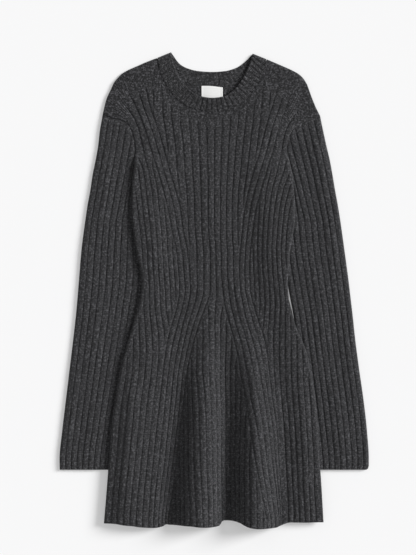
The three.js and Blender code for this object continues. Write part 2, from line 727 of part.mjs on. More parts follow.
function frontBodyRow(y) {
  const strips = stripsAt(y);
  const place = (s, share) => {
    const x = lerp(strips[s].from, strips[s].to, share);
    return [x, bentToHem(x, y, hemLine)];
  };
  const last = y === LAST_ROW;
  return frontRow(strips, place, () => (last ? EDGE_WALL : WALL), () => (last ? HEM_RIBS : 1));
}

function makeFront() {
  return wall("front", [...YOKE_ROWS.map(frontYokeRow), ...FRONT_ROWS.map(frontBodyRow)]);
}

// The back, which is plain where it lies flat

// Shares of the way across the back at each of its columns, with the rise over each sleeve
function backColumns(y) {
  const rising = [0, 0.25, 0.5, 0.75, 1];
  const leftFoot = sleeveLeft.inner(y) + RISE_CLEAR;
  const rightFoot = sleeveRight.inner(y) - RISE_CLEAR;
  const middles = [1, 2, 3, 4, 5].map((i) => lerp(leftFoot + RISE, rightFoot - RISE, i / 6));
  return [
    side.left(y),
    ...rising.map((r) => leftFoot + r * RISE),
    ...middles,
    ...rising.toReversed().map((r) => rightFoot - r * RISE),
    side.right(y),
  ];
}

function backRow(spots, thick) {
  const points = spots.map(([x, y], i) => ({ key: `column${i}`, x, y, low: riseOverSleeves(x, y, 0) }));
  return {
    outer: points.map(({ key, x, y, low }) => ({ key, at: [x, y, low + thick] })),
    inner: points.map(({ key, x, y, low }) => ({ key, at: [x, y, low] })),
  };
}

function backHem(x) {
  const fromSide = Math.min(x - side.left(LAST_ROW), side.right(LAST_ROW) - x);
  return lerp(hemLine(x) + BACK_HEM_SHORTER, BACK_HEM, smoothStep(fromSide / BACK_HEM_BLEND));
}

const neckBackFromLeft = (share, across) => neckBack(1 - share, across);

function makeBack() {
  const foot = backColumns(BODY_ROWS[0]);
  const last = foot.length - 1;
  const yoke = YOKE_ROWS.map((down) => {
    const spots = foot.map((x, i) => {
      const share = i / last;
      const topX = BACK_TOP_COLUMNS[i];
      const straight = (topAt, footX) => [
        lerp(topAt[0], footX, down),
        lerp(topAt[1], BODY_ROWS[0], down),
      ];
      const offLeft = straight([ARMHOLE_LEFT[0].x, ARMHOLE_LEFT[0].y], foot[0]);
      const offRight = straight([ARMHOLE_RIGHT[0].x, ARMHOLE_RIGHT[0].y], foot[last]);
      const pullLeft = [armholeLeft.x(down) - offLeft[0], armholeLeft.y(down) - offLeft[1]];
      const pullRight = [armholeRight.x(down) - offRight[0], armholeRight.y(down) - offRight[1]];
      const [nearLeft, nearRight] = [(1 - share) ** SEAM_PULL, share ** SEAM_PULL];
      const spot = straight([topX, topEdge(neckBackFromLeft, topX)], x);
      return spot.map((value, n) => value + nearLeft * pullLeft[n] + nearRight * pullRight[n]);
    });
    return backRow(spots, WALL);
  });
  const body = FRONT_ROWS.map((y) => {
    const spots = backColumns(y).map((x) => [x, bentToHem(x, y, backHem)]);
    return backRow(spots, WALL);
  });
  return wall("back", [...yoke, ...body]);
}

// Sleeves

const rounding = (fromFold) => Math.sqrt(1 - (1 - Math.min(fromFold, FOLD_REACH) / FOLD_REACH) ** 2);

// One row of a sleeve. place gives the point at a rib number, and rim is how much of the upper
// wall is left.
function sleeveRow(place, rim) {
  const tips = [place(0), place(SLEEVE_RIBS)];
  const fromFold = ([x, y]) => Math.min(...tips.map((tip) => Math.hypot(x - tip[0], y - tip[1])));
  const pitch = Math.hypot(tips[1][0] - tips[0][0], tips[1][1] - tips[0][1]) / SLEEVE_RIBS;
  const nearFold = SLEEVE_FOLD_STEP / pitch;
  const top = UPPER + WALL * rim;
  const upper = (key, rib, crown) => {
    const spot = place(rib);
    const round = rounding(fromFold(spot));
    const ribRise = crown * RIB_HEIGHT * rim * Math.min(1, fromFold(spot) / FOLD_REACH);
    return { key, at: [...spot, lerp(FOLD_LEVEL, top, round) + ribRise] };
  };
  const lower = (key, rib) => {
    const spot = place(rib);
    return { key, at: [...spot, lerp(FOLD_LEVEL, 0, rounding(fromFold(spot)))] };
  };
  const outer = [upper("foldOut", 0, 0), upper("nearOut", nearFold, 0)];
  for (let rib = 0; rib < SLEEVE_RIBS; rib += 1) {
    if (rib > 0) outer.push(upper(`rib${rib}`, rib, 0));
    RIB_SHOULDERS.forEach((shoulder, n) => outer.push(upper(`rib${rib}:${n}`, rib + shoulder, 1)));
  }
  outer.push(upper("nearIn", SLEEVE_RIBS - nearFold, 0), upper("foldIn", SLEEVE_RIBS, 0));
  const reach = FOLD_REACH / pitch;
  const under = [nearFold, reach, ...SLEEVE_PLAIN, SLEEVE_RIBS - reach, SLEEVE_RIBS - nearFold];
  outer.push(...under.map((rib, i) => lower(`under${i}`, rib)).reverse());
  const inset = SLEEVE_INSET / pitch;
  const inside = (key, rib, level) => ({ key, at: [...place(rib), level] });
  const inner = [
    inside("foldOut", inset, FOLD_LEVEL),
    ...SLEEVE_PLAIN.map((rib) => inside(`plain${rib}`, rib, UPPER)),
    inside("foldIn", SLEEVE_RIBS - inset, FOLD_LEVEL),
    ...SLEEVE_PLAIN.map((rib) => inside(`low${rib}`, rib, WALL)).reverse(),
  ];
  return { outer, inner };
}

function makeSleeve(name, edge, headRows, outward) {
  const head = { x: chain(headRows, "rib", "x"), y: chain(headRows, "rib", "y") };
  const onHead = (rib) => [head.x(rib) + outward * 2 * SEAM_GAP, head.y(rib) - 2 * SEAM_GAP];
  const straight = (rib, y) => [lerp(edge.outer(y), edge.inner(y), rib / SLEEVE_RIBS), y];
  const headPlace = (down) => (rib) => {
    const [from, to] = [onHead(rib), straight(rib, SLEEVE_STRAIGHT)];
    const tipY = lerp(onHead(0)[1], SLEEVE_STRAIGHT, down);
    const bulge = edge.outer(tipY) - lerp(onHead(0)[0], edge.outer(SLEEVE_STRAIGHT), down);
    const near = down > 0 ? (1 - rib / SLEEVE_RIBS) ** 2 : 0;
    return [lerp(from[0], to[0], down) + near * bulge, lerp(from[1], to[1], down)];
  };
  const cuff = SLEEVE_ROWS.at(-1);
  const rows = [
    ...SLEEVE_HEAD_ROWS.map((down) => sleeveRow(headPlace(down), down > 0 ? 1 : SLEEVE_HEAD_WALL)),
    ...SLEEVE_ROWS.map((y) => sleeveRow((rib) => straight(rib, y), y === cuff ? CUFF_WALL : 1)),
  ];
  return tube(name, rows);
}

// The neckband

// Evenly spaced shares between the ends
const between = (count) => Array.from({ length: count }, (_, i) => (i + 1) / (count + 1));

// How far a point inside a folded end of the neckband lies in from the fold
function inFromFold(share) {
  const [free, seam] = [neckFront(share, 0), neckFront(share, 1)];
  const across = Math.hypot(seam[0] - free[0], seam[1] - free[1]);
  const down = Math.sign(seam[0] - free[0]);
  return [
    ((seam[1] - free[1]) / across) * down * SLEEVE_INSET,
    (-Math.abs(seam[0] - free[0]) / across) * SLEEVE_INSET,
  ];
}

function neckbandRow(across, left) {
  const lift = (share) => NECK_LIFT * (1 - across) ** NECK_LIFT_POWER * Math.sin(Math.PI * share);
  const tips = [neckFront(0, across), neckFront(1, across)];
  const fromFold = ([x, y]) => Math.min(...tips.map((tip) => Math.hypot(x - tip[0], y - tip[1])));
  const upper = (key, share, crown) => {
    const spot = neckFront(share, across);
    const top = UPPER + lift(share) + WALL * left + crown * FINE_RIB_HEIGHT * left;
    return { key, at: [...spot, lerp(FOLD_LEVEL, top, rounding(fromFold(spot)))] };
  };
  const lower = (key, share) => {
    const spot = neckBack(share, across);
    return { key, at: [...spot, lerp(FOLD_LEVEL, 0, rounding(fromFold(spot)))] };
  };
  const near = NECK_FOLD_STEP;
  const outer = [upper("foldLeft", 0, 0), upper("nearLeft", near, 0)];
  for (let rib = 0; rib < NECK_RIBS; rib += 1) {
    if (rib > 0) outer.push(upper(`rib${rib}`, rib / NECK_RIBS, 0));
    outer.push(upper(`rib${rib}:crown`, (rib + 0.5) / NECK_RIBS, 1));
  }
  outer.push(upper("nearRight", 1 - near, 0), upper("foldRight", 1, 0));
  const backShares = [near, 3 * near, ...between(NECK_BACKS), 1 - 3 * near, 1 - near];
  outer.push(...backShares.map((share, i) => lower(`back${i}`, share)));
  const tipInside = (key, share) => {
    const [spot, shift] = [neckFront(share, across), inFromFold(share)];
    return { key, at: [spot[0] + shift[0], spot[1] + shift[1], FOLD_LEVEL] };
  };
  const frontInner = between(NECK_FRONT_INSIDES).map((share) => ({
    key: `in${share}`,
    at: [...neckFront(share, across), UPPER + lift(share)],
  }));
  const backInner = between(NECK_BACKS).map((share) => ({
    key: `inBack${share}`,
    at: [...neckBack(share, across), WALL * Math.min(1, left + NECK_BACK_EXTRA_WALL)],
  }));
  const inner = [tipInside("foldLeft", 0), ...frontInner, tipInside("foldRight", 1), ...backInner];
  return { outer, inner };
}

function makeNeckband() {
  return tube("neckband", NECKBAND_ROWS.map((row) => neckbandRow(row.across, row.wall)));
}

// The label, a blank patch on the inside of the back

function makeLabel() {
  const low = WALL + LABEL_GAP;
  const row = (y) => {
    const points = Array.from({ length: LABEL.steps + 1 }, (_, i) => {
      const share = i / LABEL.steps;
      const bow = LABEL.bow * 4 * share * (1 - share);
      return { key: `step${i}`, x: lerp(LABEL.left, LABEL.right, share), z: low + bow };
    });
    return {
      outer: points.map(({ key, x, z }) => ({ key, at: [x, y, z + LABEL.thick] })),
      inner: points.map(({ key, x, z }) => ({ key, at: [x, y, z] })),
    };
  };
  return wall("neck_label", [row(LABEL.top), row(LABEL.bottom)], LABEL_COLOUR);
}

// The dress, moved so that it stands on z = 0 with its middle over the origin

const dress = new THREE.Group();
dress.add(
  makeFront(),
  makeBack(),
  makeSleeve("sleeve_left", sleeveLeft, SLEEVE_HEAD_LEFT, -1),
  makeSleeve("sleeve_right", sleeveRight, SLEEVE_HEAD_RIGHT, 1),
  makeNeckband(),
  makeLabel(),
);
const extent = new THREE.Box3().setFromObject(dress);
const centre = extent.getCenter(new THREE.Vector3());
dress.position.set(-centre.x, -centre.y, -extent.min.z);

export default dress;
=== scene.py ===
# A rib knit sweater dress, laid flat on its back on a pale floor.
# The tables hold garment millimetres: x to the right from the middle of the dress and y up from
# the waist, as seen from above. Surface.make turns them into metres in the model's frame.
import math

import bpy
import numpy as np
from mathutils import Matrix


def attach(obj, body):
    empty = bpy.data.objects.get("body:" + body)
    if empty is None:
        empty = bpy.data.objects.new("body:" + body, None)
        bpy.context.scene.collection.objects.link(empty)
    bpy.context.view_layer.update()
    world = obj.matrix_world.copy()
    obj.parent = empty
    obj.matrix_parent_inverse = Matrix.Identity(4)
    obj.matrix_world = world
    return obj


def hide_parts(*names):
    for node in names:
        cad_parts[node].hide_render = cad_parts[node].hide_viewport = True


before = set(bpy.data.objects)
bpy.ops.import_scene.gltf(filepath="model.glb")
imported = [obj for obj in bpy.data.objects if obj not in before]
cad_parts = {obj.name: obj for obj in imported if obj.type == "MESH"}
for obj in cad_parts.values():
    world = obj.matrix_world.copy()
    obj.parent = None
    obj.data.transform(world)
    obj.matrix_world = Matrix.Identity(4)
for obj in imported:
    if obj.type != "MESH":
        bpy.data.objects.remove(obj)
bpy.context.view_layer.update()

# The cloth's walls and layers, in millimetres
SHIFT_X = 0.73  # from garment coordinates to the model's frame
SHIFT_Y = -0.25
WALL = 2.4
LAYER_GAP = 0.4
UPPER = WALL + LAYER_GAP
FOLD_LEVEL = UPPER - LAYER_GAP / 2
FOLD_REACH = 3.2
EDGE_WALL = 0.7  # what is left of the body's wall at its free edges
SEAM_WALL = 2.25  # at the armhole seams
NECK_WALL = 2.4  # and at the neck seam
SIDE_ROUND = 4.5
SEAM_ROUND = 2.6
SHOULDER_ROUND = 6.0
HEM_ROUND = 2.2

# Ribs
RIB_HEIGHT = 1.35
GROOVE = 0.6  # how far the valleys between ribs are sunk into the wall
PLAIN_GROOVE = 0.9  # and on the sides that lie against another layer or the floor
CROWN_BREADTH = 2.6
CROWN_ROUNDNESS = 0.75
NARROW_RIB = 6.0  # narrower ribs stand lower
SLOW_SWELL = 0.18
QUICK_SWELL = 0.2
SMOOTH_CROWN = 0.8  # the painted valley shade of cloth whose ribs haven't set in, from 0 (as in a valley) to 1 (as on a crown)
INSIDE_CROWNS = (0.4, 0.9)  # and of the front's inside, behind a crown and behind a valley
KNIT_UNIT = 100  # mm of cloth for each unit along a knit coordinate

# How far across a rib its points lie, across a fine one and across one on a hidden side
ACROSS_RIB = (0.0, 0.07, 0.17, 0.32, 0.5, 0.68, 0.83, 0.93)
ACROSS_FINE_RIB = (0.0, 0.14, 0.32, 0.5, 0.68, 0.86)
ACROSS_BACK_RIB = (0.0, 0.12, 0.3, 0.5, 0.7, 0.88)

# Ribs set in below the neck seam and further down on the shoulders, but not at their tips
NECK_MIDDLE = -3.5
NECK_SET_IN = 30
SHOULDER_PLAIN = 25
SHOULDER_SET_IN = 38
SHOULDER_STARTS = 40  # from the neck's middle
SHOULDER_BLEND = 60
TIP_STARTS = 145
TIP_BLEND = 45

# How the body lies over the sleeves
SLEEVE_RIB_ROOM = 1.4
SLEEVE_CLEAR = 0.3
OVER_SLEEVE = UPPER + WALL + SLEEVE_RIB_ROOM + SLEEVE_CLEAR
BACK_RISE = 22
FRONT_RISE = 60
FRONT_RISE_AHEAD = 5
RISE_CLEAR = 2
RISE_STARTS = 252
RISE_FULL = 221

# Rows of the meshes
ROW_STEP = 3.6
BACK_ROW_STEP = 1.45 * ROW_STEP
INSIDE_EVERY = 4  # the front's inside has every fourth row of its outside
EDGE_ROWS = 4  # how far from a hem or cuff its own rows start
YOKE_FOOT = 252
YOKE_HEIGHT = 120
YOKE_TOP_ROWS = (0, 0.005, 0.013, 0.025, 0.045)
HEM_ROW_STARTS = -270
LAST_ROW = -421
HEM_ROWS = (3.4, 2.0, 1.0, 0.4, 0)
BACK_HEM = -409
BACK_HEM_SHORTER = 2
BACK_HEM_BLEND = 40


def table(columns, *rows):
    """Named columns from rows of numbers."""
    return dict(zip(columns.split(), np.array(rows, float).T))


BODY_SIDES = table(
    "y left right",
    (252, -143, 132), (236, -143.3, 134.6), (220, -144, 138), (198, -147, 142),
    (162, -148, 145), (126, -148, 145), (99, -144, 142), (72, -140, 137), (45, -134, 135),
    (18, -130, 133), (-11, -132, 134), (-36, -138, 140), (-63, -146, 146), (-90, -154, 158),
    (-117, -162, 168), (-153, -170, 175), (-198, -177, 182), (-252, -185, 187),
    (-306, -189, 190), (-360, -193, 193.6), (-421, -198, 197),
)

HEM = table(
    "x y",
    (-198, -419.8), (-178, -420.3), (-160, -422.5), (-147, -423.4), (-133, -425.6),
    (-106, -427.2), (-94, -425.4), (-86, -421.9), (-79, -422.9), (-61, -422.8), (-43, -422.4),
    (-16, -424.6), (0, -424.8), (7, -423.9), (16, -415.2), (27, -415), (38, -415.7),
    (50, -418.6), (56, -421.8), (65, -424.8), (86, -426.8), (110, -426.7), (118, -424.2),
    (128, -420.8), (137, -418.4), (155, -418.4), (194, -417.7),
)

# Valleys that run the whole way down and guide the rest: two on each side with two even ribs
# between them, and the gore's two. Then a valley of the ribs at each side, and the ribs' pitch
# there and in the gore
RIB_GUIDES = table(
    "y outer_left inner_left gore_left gore_right inner_right outer_right"
    " side_left side_right pitch_left pitch_right pitch_gore",
    (414, -182, -137, -14.5, 14.5, 129.5, 160, -203.5, 194.5, 10.8, 16.2, 14.5),
    (360, -156.5, -122.5, -14.5, 14.5, 113.5, 141.5, -183.5, 187, 10.8, 16.2, 14.5),
    (324, -138.5, -113.5, -14.5, 14.5, 102.5, 128, -167.5, 176.5, 10.8, 16.2, 14.5),
    (288, -124, -101, -13.5, 14, 92, 115, -156.5, 160, 10.8, 14.4, 13.75),
    (252, -113.5, -90, -13, 12.5, 83, 106, -155.5, 147.5, 14, 13, 12.75),
    (216, -102.5, -81, -11.5, 11.5, 72, 95.5, -137, 137, 9, 11.7, 11.5),
    (180, -92, -70, -11, 11, 62.5, 84.5, -132.5, 124, 9.9, 10.1, 11),
    (144, -83, -61, -11, 11, 55, 75.5, -128, 117, 9.5, 9, 11),
    (108, -76.5, -56, -10.5, 11, 50.5, 70, -124, 113.5, 9.4, 8.5, 10.75),
    (72, -68.5, -48.5, -7.5, 12, 47, 65.5, -120.5, 111.5, 9, 8.3, 9.75),
    (36, -65, -45, -7, 12.5, 45, 64, -119, 113.5, 9.2, 8.5, 9.75),
    (0, -63, -43, -7.5, 15.5, 47, 65, -117, 117, 9.4, 8.8, 11.5),
    (-27, -66.5, -47, -15, 19, 52, 71, -117, 119, 9.7, 9.2, 13.3),
    (-54, -74, -54.5, -25, 26, 58, 79, -115, 118, 10.4, 9.5, 10.6),
    (-81, -82, -61, -33, 34, 66, 88, -112.5, 117, 11.2, 10.4, 10.6),
    (-108, -87.5, -67, -40, 41, 73, 94, -111.5, 117, 11.3, 10.4, 10.6),
    (-153, -93, -74, -49, 50, 82, 99, -114.5, 118, 11, 10.3, 10.6),
    (-198, -98, -78.5, -53, 58, 89, 104, -120.5, 121, 11.2, 10.3, 10.6),
    (-252, -104, -84, -60, 67, 97, 112, -126, 126, 11, 9.9, 10.6),
    (-306, -110, -90, -67, 74, 103, 115, -131.5, 129, 10.8, 9.9, 10.6),
    (-360, -115, -97, -75, 84, 110, 119, -137, 132, 10.8, 9.5, 10.6),
    (-405, -118, -101, -83, 93, 115, 122, -140.5, 134, 11, 9.7, 10.6),
)
# How many ribs fan out between an inner line and the gore, on each side
FAN_RIBS = table(
    "y left right",
    (-500, 3, 3), (0, 3, 3), (36, 3.09, 3), (72, 3.38, 3.22), (108, 3.77, 3.8), (144, 4, 4.24),
    (180, 4.52, 4.75), (216, 4.96, 5.04), (252, 5.45, 5.57), (288, 6, 6), (324, 6.7, 6.7),
    (360, 7.3, 7.4), (414, 8.2, 8.5), (500, 8.2, 8.5),
)

# The skirt's three soft folds, the valleys between them and how high the cloth stays in between
SKIRT_FOLDS = table(
    "y left_start left_from left_to left_high valley_one middle_from middle_to middle_high"
    " valley_two right_from right_to right_high right_end flat",
    (-18, -133, -101, -76, 0, -47, -18, -4, 0, 16, 50, 72, 0, 112, 0),
    (-72, -133, -101, -76, 1, -47, -18, -4, 3, 16, 50, 72, 4, 112, 0),
    (-198, -171, -130, -92, 7, -61, -29, -5, 20, 22, 65, 85, 22, 128, 1),
    (-306, -182, -140, -101, 11, -70, -36, -7, 27, 23, 63, 88, 29, 130, 1.5),
    (-430, -191, -148, -108, 14, -79, -45, -12, 31, 22, 60, 89, 33, 131, 2),
)
FOLDS_START = -18
FOLD_BROW = 0.85

SHOULDER_LEFT = table(
    "x y",
    (-200.7, 316), (-193.6, 345), (-186.4, 360), (-180, 374), (-172.5, 383), (-165.5, 390),
    (-151, 398), (-137, 404), (-122.5, 410.5), (-101.7, 418.5),
)
SHOULDER_RIGHT = table(
    "x y",
    (94.5, 416), (122.5, 404), (137, 397.6), (151, 390.2), (159.5, 383), (167.5, 371),
    (174, 353), (180.8, 335), (191.3, 313.5),
)

# Armhole seams by the share of the way down the yoke
ARMHOLE_LEFT = table(
    "down x y",
    (0, -200.7, 316), (0.06, -197.2, 314), (0.2, -185.5, 309.5), (0.38, -169, 306),
    (0.55, -156.5, 300), (0.7, -148.5, 286.5), (0.85, -144.5, 268.5), (1, -143, 252),
)
ARMHOLE_RIGHT = table(
    "down x y",
    (0, 191.3, 313.5), (0.06, 187.5, 311.7), (0.2, 173, 306.5), (0.38, 155.5, 300),
    (0.55, 143, 291.5), (0.7, 136, 279), (0.85, 133, 266), (1, 132, 252),
)

# The neckband's free edge and its seam, its front half and its back half, from left to right
NECK_FRONT = table(
    "free_x free_y seam_x seam_y",
    (-77.5, 428.5, -101.7, 418.5), (-75.5, 417.5, -97.5, 396), (-65, 389.5, -88.5, 374),
    (-45, 361.5, -63.5, 342), (-24, 349, -33, 325.5), (-3.5, 345.9, -3.5, 320.5),
    (17.5, 348.6, 26, 325.5), (38, 362.5, 56.5, 342), (56, 389.5, 81, 374),
    (67.5, 417.5, 90.5, 396), (70, 426, 94.5, 416),
)
NECK_BACK = table(
    "free_x free_y seam_x seam_y",
    (-77.5, 428.5, -101.7, 418.5), (-61, 407, -91, 395), (-47, 399.4, -71, 378),
    (-28, 394.8, -36, 370.5), (-3.5, 393.2, -3.5, 368.5), (19, 394.7, 29, 370.5),
    (41, 401, 64, 378), (56, 411.6, 84, 395), (70, 426, 94.5, 416),
)

# The neckband
NECK_LIFT = 4
NECK_RIBS = 30
NECK_BACK_RIBS = 24
NECK_WIDTH = 27
NECK_ROWS = (0, 0.012, 0.035, 0.07, *np.linspace(0.11, 0.93, 22), 0.955, 0.975)
NECK_TIP = 0.004  # the share of the way round at which more points lie
NECK_INSIDE_POINTS = 60
SEAM_CLOSER = 1.02  # so that the neckband all but meets the body
FINE_RIB_HEIGHT = 0.95
FINE_GROOVE = 0.4
FINE_BACK_GROOVE = 0.6
FINE_INSIDE_GROOVE = 0.7
NECK_FREE_WALL = 0.35  # the share of the wall that is left at the free edge and at the seam
NECK_FREE_ROUND = 1.6
NECK_SEAM_WALL = 0.97
NECK_SEAM_ROUND = 2.5
NECK_SEAM_AT = 0.985  # of the band's width
NECK_THIN = 0.8  # how far the back's underside rises where the wall is thin
NECK_CURL = 1.5

SLEEVE_LEFT = table(
    "y outer inner",
    (316, -200.7, -121), (288, -205.7, -121), (261, -208.8, -121), (234, -213.5, -121),
    (207, -219, -121), (180, -223, -121.5), (153, -228, -122), (126, -232, -122),
    (72, -239, -122), (18, -243.5, -123), (-36, -248, -131), (-90, -254, -140),
    (-144, -260.5, -149), (-198, -267, -158), (-252, -273.5, -166.5), (-306, -278.5, -174.5),
    (-324, -278, -177),
)
SLEEVE_RIGHT = table(
    "y outer inner",
    (313.5, 191.3, 118), (288, 196.6, 118), (261, 202.5, 118), (234, 208.8, 118),
    (207, 213.8, 118), (180, 218.3, 118), (153, 223.3, 118), (126, 227.6, 119),
    (72, 235.2, 123), (18, 242.5, 131.5), (-11, 245.9, 136.5), (-43, 249.7, 142.5),
    (-90, 254.8, 149), (-144, 261.9, 156), (-198, 269.6, 162.5), (-252, 275.7, 169),
    (-306, 279.2, 175), (-317, 279.2, 176), (-322, 277.5, 176.4), (-324, 275, 176.5),
)
SLEEVE_HEAD_LEFT = table(
    "rib x y",
    (0, -200.7, 316), (1.4, -185.5, 309.5), (3, -169, 306), (4.1, -156.5, 300),
    (4.9, -148.5, 286.5), (5.4, -144.5, 268.5), (5.8, -143, 252), (6.6, -143.3, 236),
    (7.3, -144, 220), (8.4, -138, 204), (9.3, -129, 186), (10, -121.5, 166),
)
SLEEVE_HEAD_RIGHT = table(
    "rib x y",
    (0, 191.3, 313.5), (1.5, 173, 306.5), (3.1, 155.5, 300), (4.2, 143, 291.5), (4.9, 136, 279),
    (5.3, 133, 266), (5.8, 132, 252), (6.6, 134.6, 236), (7.3, 138, 220), (8.4, 133, 204),
    (9.3, 125, 186), (10, 118, 166),
)
SEAM_SHIFT = 0.15  # of a sleeve's head from the armhole
SLEEVE_RIBS = 10
SLEEVE_STRAIGHT = 126  # rows run straight across below this height
SLEEVE_HEAD_LENGTH = 190
SLEEVE_HEAD_ROWS = (0, 0.004, 0.01, 0.02, *np.linspace(0.04, 1, 44)[:-1])
CUFF = -324
CUFF_ROWS = (3.2, 1.8, 0.9, 0.3, 0)
FAR = 500  # too far from a head or a cuff to matter
NEAR_FOLD = (0.015, 0.04)  # in ribs
SLEEVE_INSET = 2.6
SLEEVE_PLAIN = np.array((0.6, 1.4, 3, 4.1, 4.9, 5.8, 7.3, 8.4, 9.4))
SLEEVE_INSIDE_EVERY = 5  # and a sleeve's every fifth
HEAD_BULGE = 0.05  # how soon below its tip the outer fold starts to curve
HEAD_WALL = 0.93  # the share of the wall that is left at the head and at the cuff
HEAD_ROUND = 2.5
CUFF_WALL = 0.35
CUFF_ROUND = 2.2
HEAD_SET_IN = 6
HEAD_CALM = 30  # ridges grow over this length
BODY_CLEAR = 3  # ridges keep clear of the body and of the outer fold
BODY_BLEND = 14
FOLD_CLEAR = 2
FOLD_BLEND = 10

LABEL = {
    "left": -22.8, "right": 15.6, "top": 367.8, "bottom": 345, "slope": 3.1, "gap": 0.3,
    "thick": 0.5, "bow": 0.9, "sag": 0.5, "folded": 0.25, "fold": 0.08, "fold_edge": 0.02,
    "stitches": 20, "sewn": 0.12, "sewn_to": 0.08,
}
LABEL_COLUMNS = 41
LABEL_ROWS = 23

# Soft ridges laid over the cloth: a line from one point to another, how wide the ridge is
# to each side and how high. They run a little past the line's ends and keep clear of the edges
RIDGE_PAST = 0.15
RIDGE_END = 0.4
RIDGES_TOP = 330
RIDGES_TOP_BLEND = 30
RIDGE_CLEAR = 6
RIDGE_BLEND = 20
FRONT_RIDGES = table(
    "x1 y1 x2 y2 width high",
    (-150, 330, -105, 250, 22, 2.2), (120, 330, 100, 240, 20, 2.0),
    (-60, 300, -75, 150, 26, 1.6), (60, 290, 88, 120, 22, 1.8), (-10, 250, 4, 60, 24, 1.4),
    (-118, 170, -104, 40, 12, 1.5), (96, 130, 92, -10, 13, 1.2), (-100, 60, -60, -20, 14, 1.6),
    (30, 30, 62, -60, 12, 1.4), (-20, 10, -46, -70, 12, 1.4), (-146, -120, -160, -400, 12, 1.8),
    (158, -100, 172, -400, 13, 2.4),
)
SLEEVE_LEFT_RIDGES = table(
    "x1 y1 x2 y2 width high",
    (-190, 270, -205, 100, 12, 2.0), (-226, 120, -240, -60, 9, 1.6),
    (-205, 20, -222, -160, 14, 1.8), (-250, -120, -262, -290, 10, 1.6),
    (-215, -200, -224, -316, 14, 2.0),
)
SLEEVE_RIGHT_RIDGES = table(
    "x1 y1 x2 y2 width high",
    (186, 280, 200, 150, 12, 2.4), (210, 140, 222, -20, 12, 1.8), (180, 40, 200, -100, 12, 2.0),
    (240, -70, 256, -240, 12, 2.0), (216, -160, 234, -316, 16, 2.6),
)


# Curves

def curve_slopes(knots, values):
    steps = np.diff(values) / np.diff(knots)
    before, after = steps[..., :-1], steps[..., 1:]
    same_way = before * after > 0
    total = np.where(same_way, before + after, 1.0)
    inner = np.where(same_way, 2 * before * after / total, 0.0)
    return np.concatenate([steps[..., :1], inner, steps[..., -1:]], axis=-1)


def along_curve(knots, values, at):
    """A smooth curve through the knots that never overshoots them. Each of at has its own row of
    knots, or they all share one."""
    at = np.atleast_1d(np.asarray(at, float))
    shape = (len(at), knots.shape[-1])
    knots = np.broadcast_to(knots, shape)
    values = np.broadcast_to(values, shape)
    slopes = curve_slopes(knots, values)
    i = np.clip((knots <= at[:, None]).sum(axis=1) - 1, 0, shape[1] - 2)
    rows = np.arange(len(at))
    left, right = knots[rows, i], knots[rows, i + 1]
    width = right - left
    t = np.clip((at - left) / width, 0, 1)
    rest = 1 - t
    return (
        values[rows, i] * (1 + 2 * t) * rest * rest
        + values[rows, i + 1] * t * t * (3 - 2 * t)
        + slopes[rows, i] * width * t * rest * rest
        - slopes[rows, i + 1] * width * t * t * rest
    )


def curves(rows, key):
    """Every other column of a table as a smooth function of one of them."""
    order = np.argsort(rows[key])
    knots = rows[key][order]

    def one(values):
        values = values[order]
        return lambda at: along_curve(knots, values, at)

    return {name: one(column) for name, column in rows.items() if name != key}


def on_chain(rows, key, at):
    """A point of a line that runs straight between its rows."""
    return [np.interp(at, rows[key], rows[name]) for name in ("x", "y")]


def smooth_step(share):
    s = np.clip(share, 0, 1)
    return s * s * (3 - 2 * s)


def lerp(a, b, share):
    return a + (b - a) * share


def rounded(distance, reach):
    """From 0 at an edge to 1 a reach away, as a quarter of a circle."""
    inward = np.clip(distance / reach, 0, 1)
    return np.sqrt(1 - (1 - inward) ** 2)


side = curves(BODY_SIDES, "y")
guide = curves(RIB_GUIDES, "y")
fold = curves(SKIRT_FOLDS, "y")
hem_line = curves(HEM, "x")["y"]
sleeve_left = curves(SLEEVE_LEFT, "y")
sleeve_right = curves(SLEEVE_RIGHT, "y")
shoulder_left = curves(SHOULDER_LEFT, "x")["y"]
shoulder_right = curves(SHOULDER_RIGHT, "x")["y"]


# Heights of the cloth

def fold_height(x, y):
    at = {name: column(y) for name, column in fold.items()}

    def middle(name):
        return (at[name + "_from"] + at[name + "_to"]) / 2

    knots = [at["left_start"]]
    heights = [0 * x]
    sides = (("left", "valley_one", 1), ("middle", "valley_two", 0.5), ("right", "right_end", 1))
    for name, valley, flat in sides:
        high = at[name + "_high"]
        knots += [at[name + "_from"], middle(name), at[name + "_to"], at[valley]]
        heights += [FOLD_BROW * high, high, FOLD_BROW * high, flat * at["flat"]]
    knots.append(side["right"](y))
    heights.append(0 * x)
    height = along_curve(np.stack(knots, -1), np.stack(heights, -1), x)
    return np.where(y < FOLDS_START, height, 0)


def rise_over_sleeves(x, y, ahead, reach):
    under = smooth_step((RISE_STARTS - y) / (RISE_STARTS - RISE_FULL))
    from_left = (sleeve_left["inner"](y) + RISE_CLEAR + reach + ahead - x) / reach
    from_right = (x - sleeve_right["inner"](y) + RISE_CLEAR + reach + ahead) / reach
    return OVER_SLEEVE * under * smooth_step(np.maximum(from_left, from_right))


def ridges(x, y, rows):
    """Soft ridges, each highest along the middle of its line."""
    height = 0 * x
    for x1, y1, x2, y2, width, high in zip(*rows.values()):
        run_x, run_y = x2 - x1, y2 - y1
        length = np.hypot(run_x, run_y)
        along = ((x - x1) * run_x + (y - y1) * run_y) / length ** 2
        across = ((x - x1) * run_y - (y - y1) * run_x) / length
        ends = smooth_step((along + RIDGE_PAST) / RIDGE_END)
        ends = ends * smooth_step((1 + RIDGE_PAST - along) / RIDGE_END)
        height = height + high * ends * np.exp(-(across / width) ** 2)
    return height


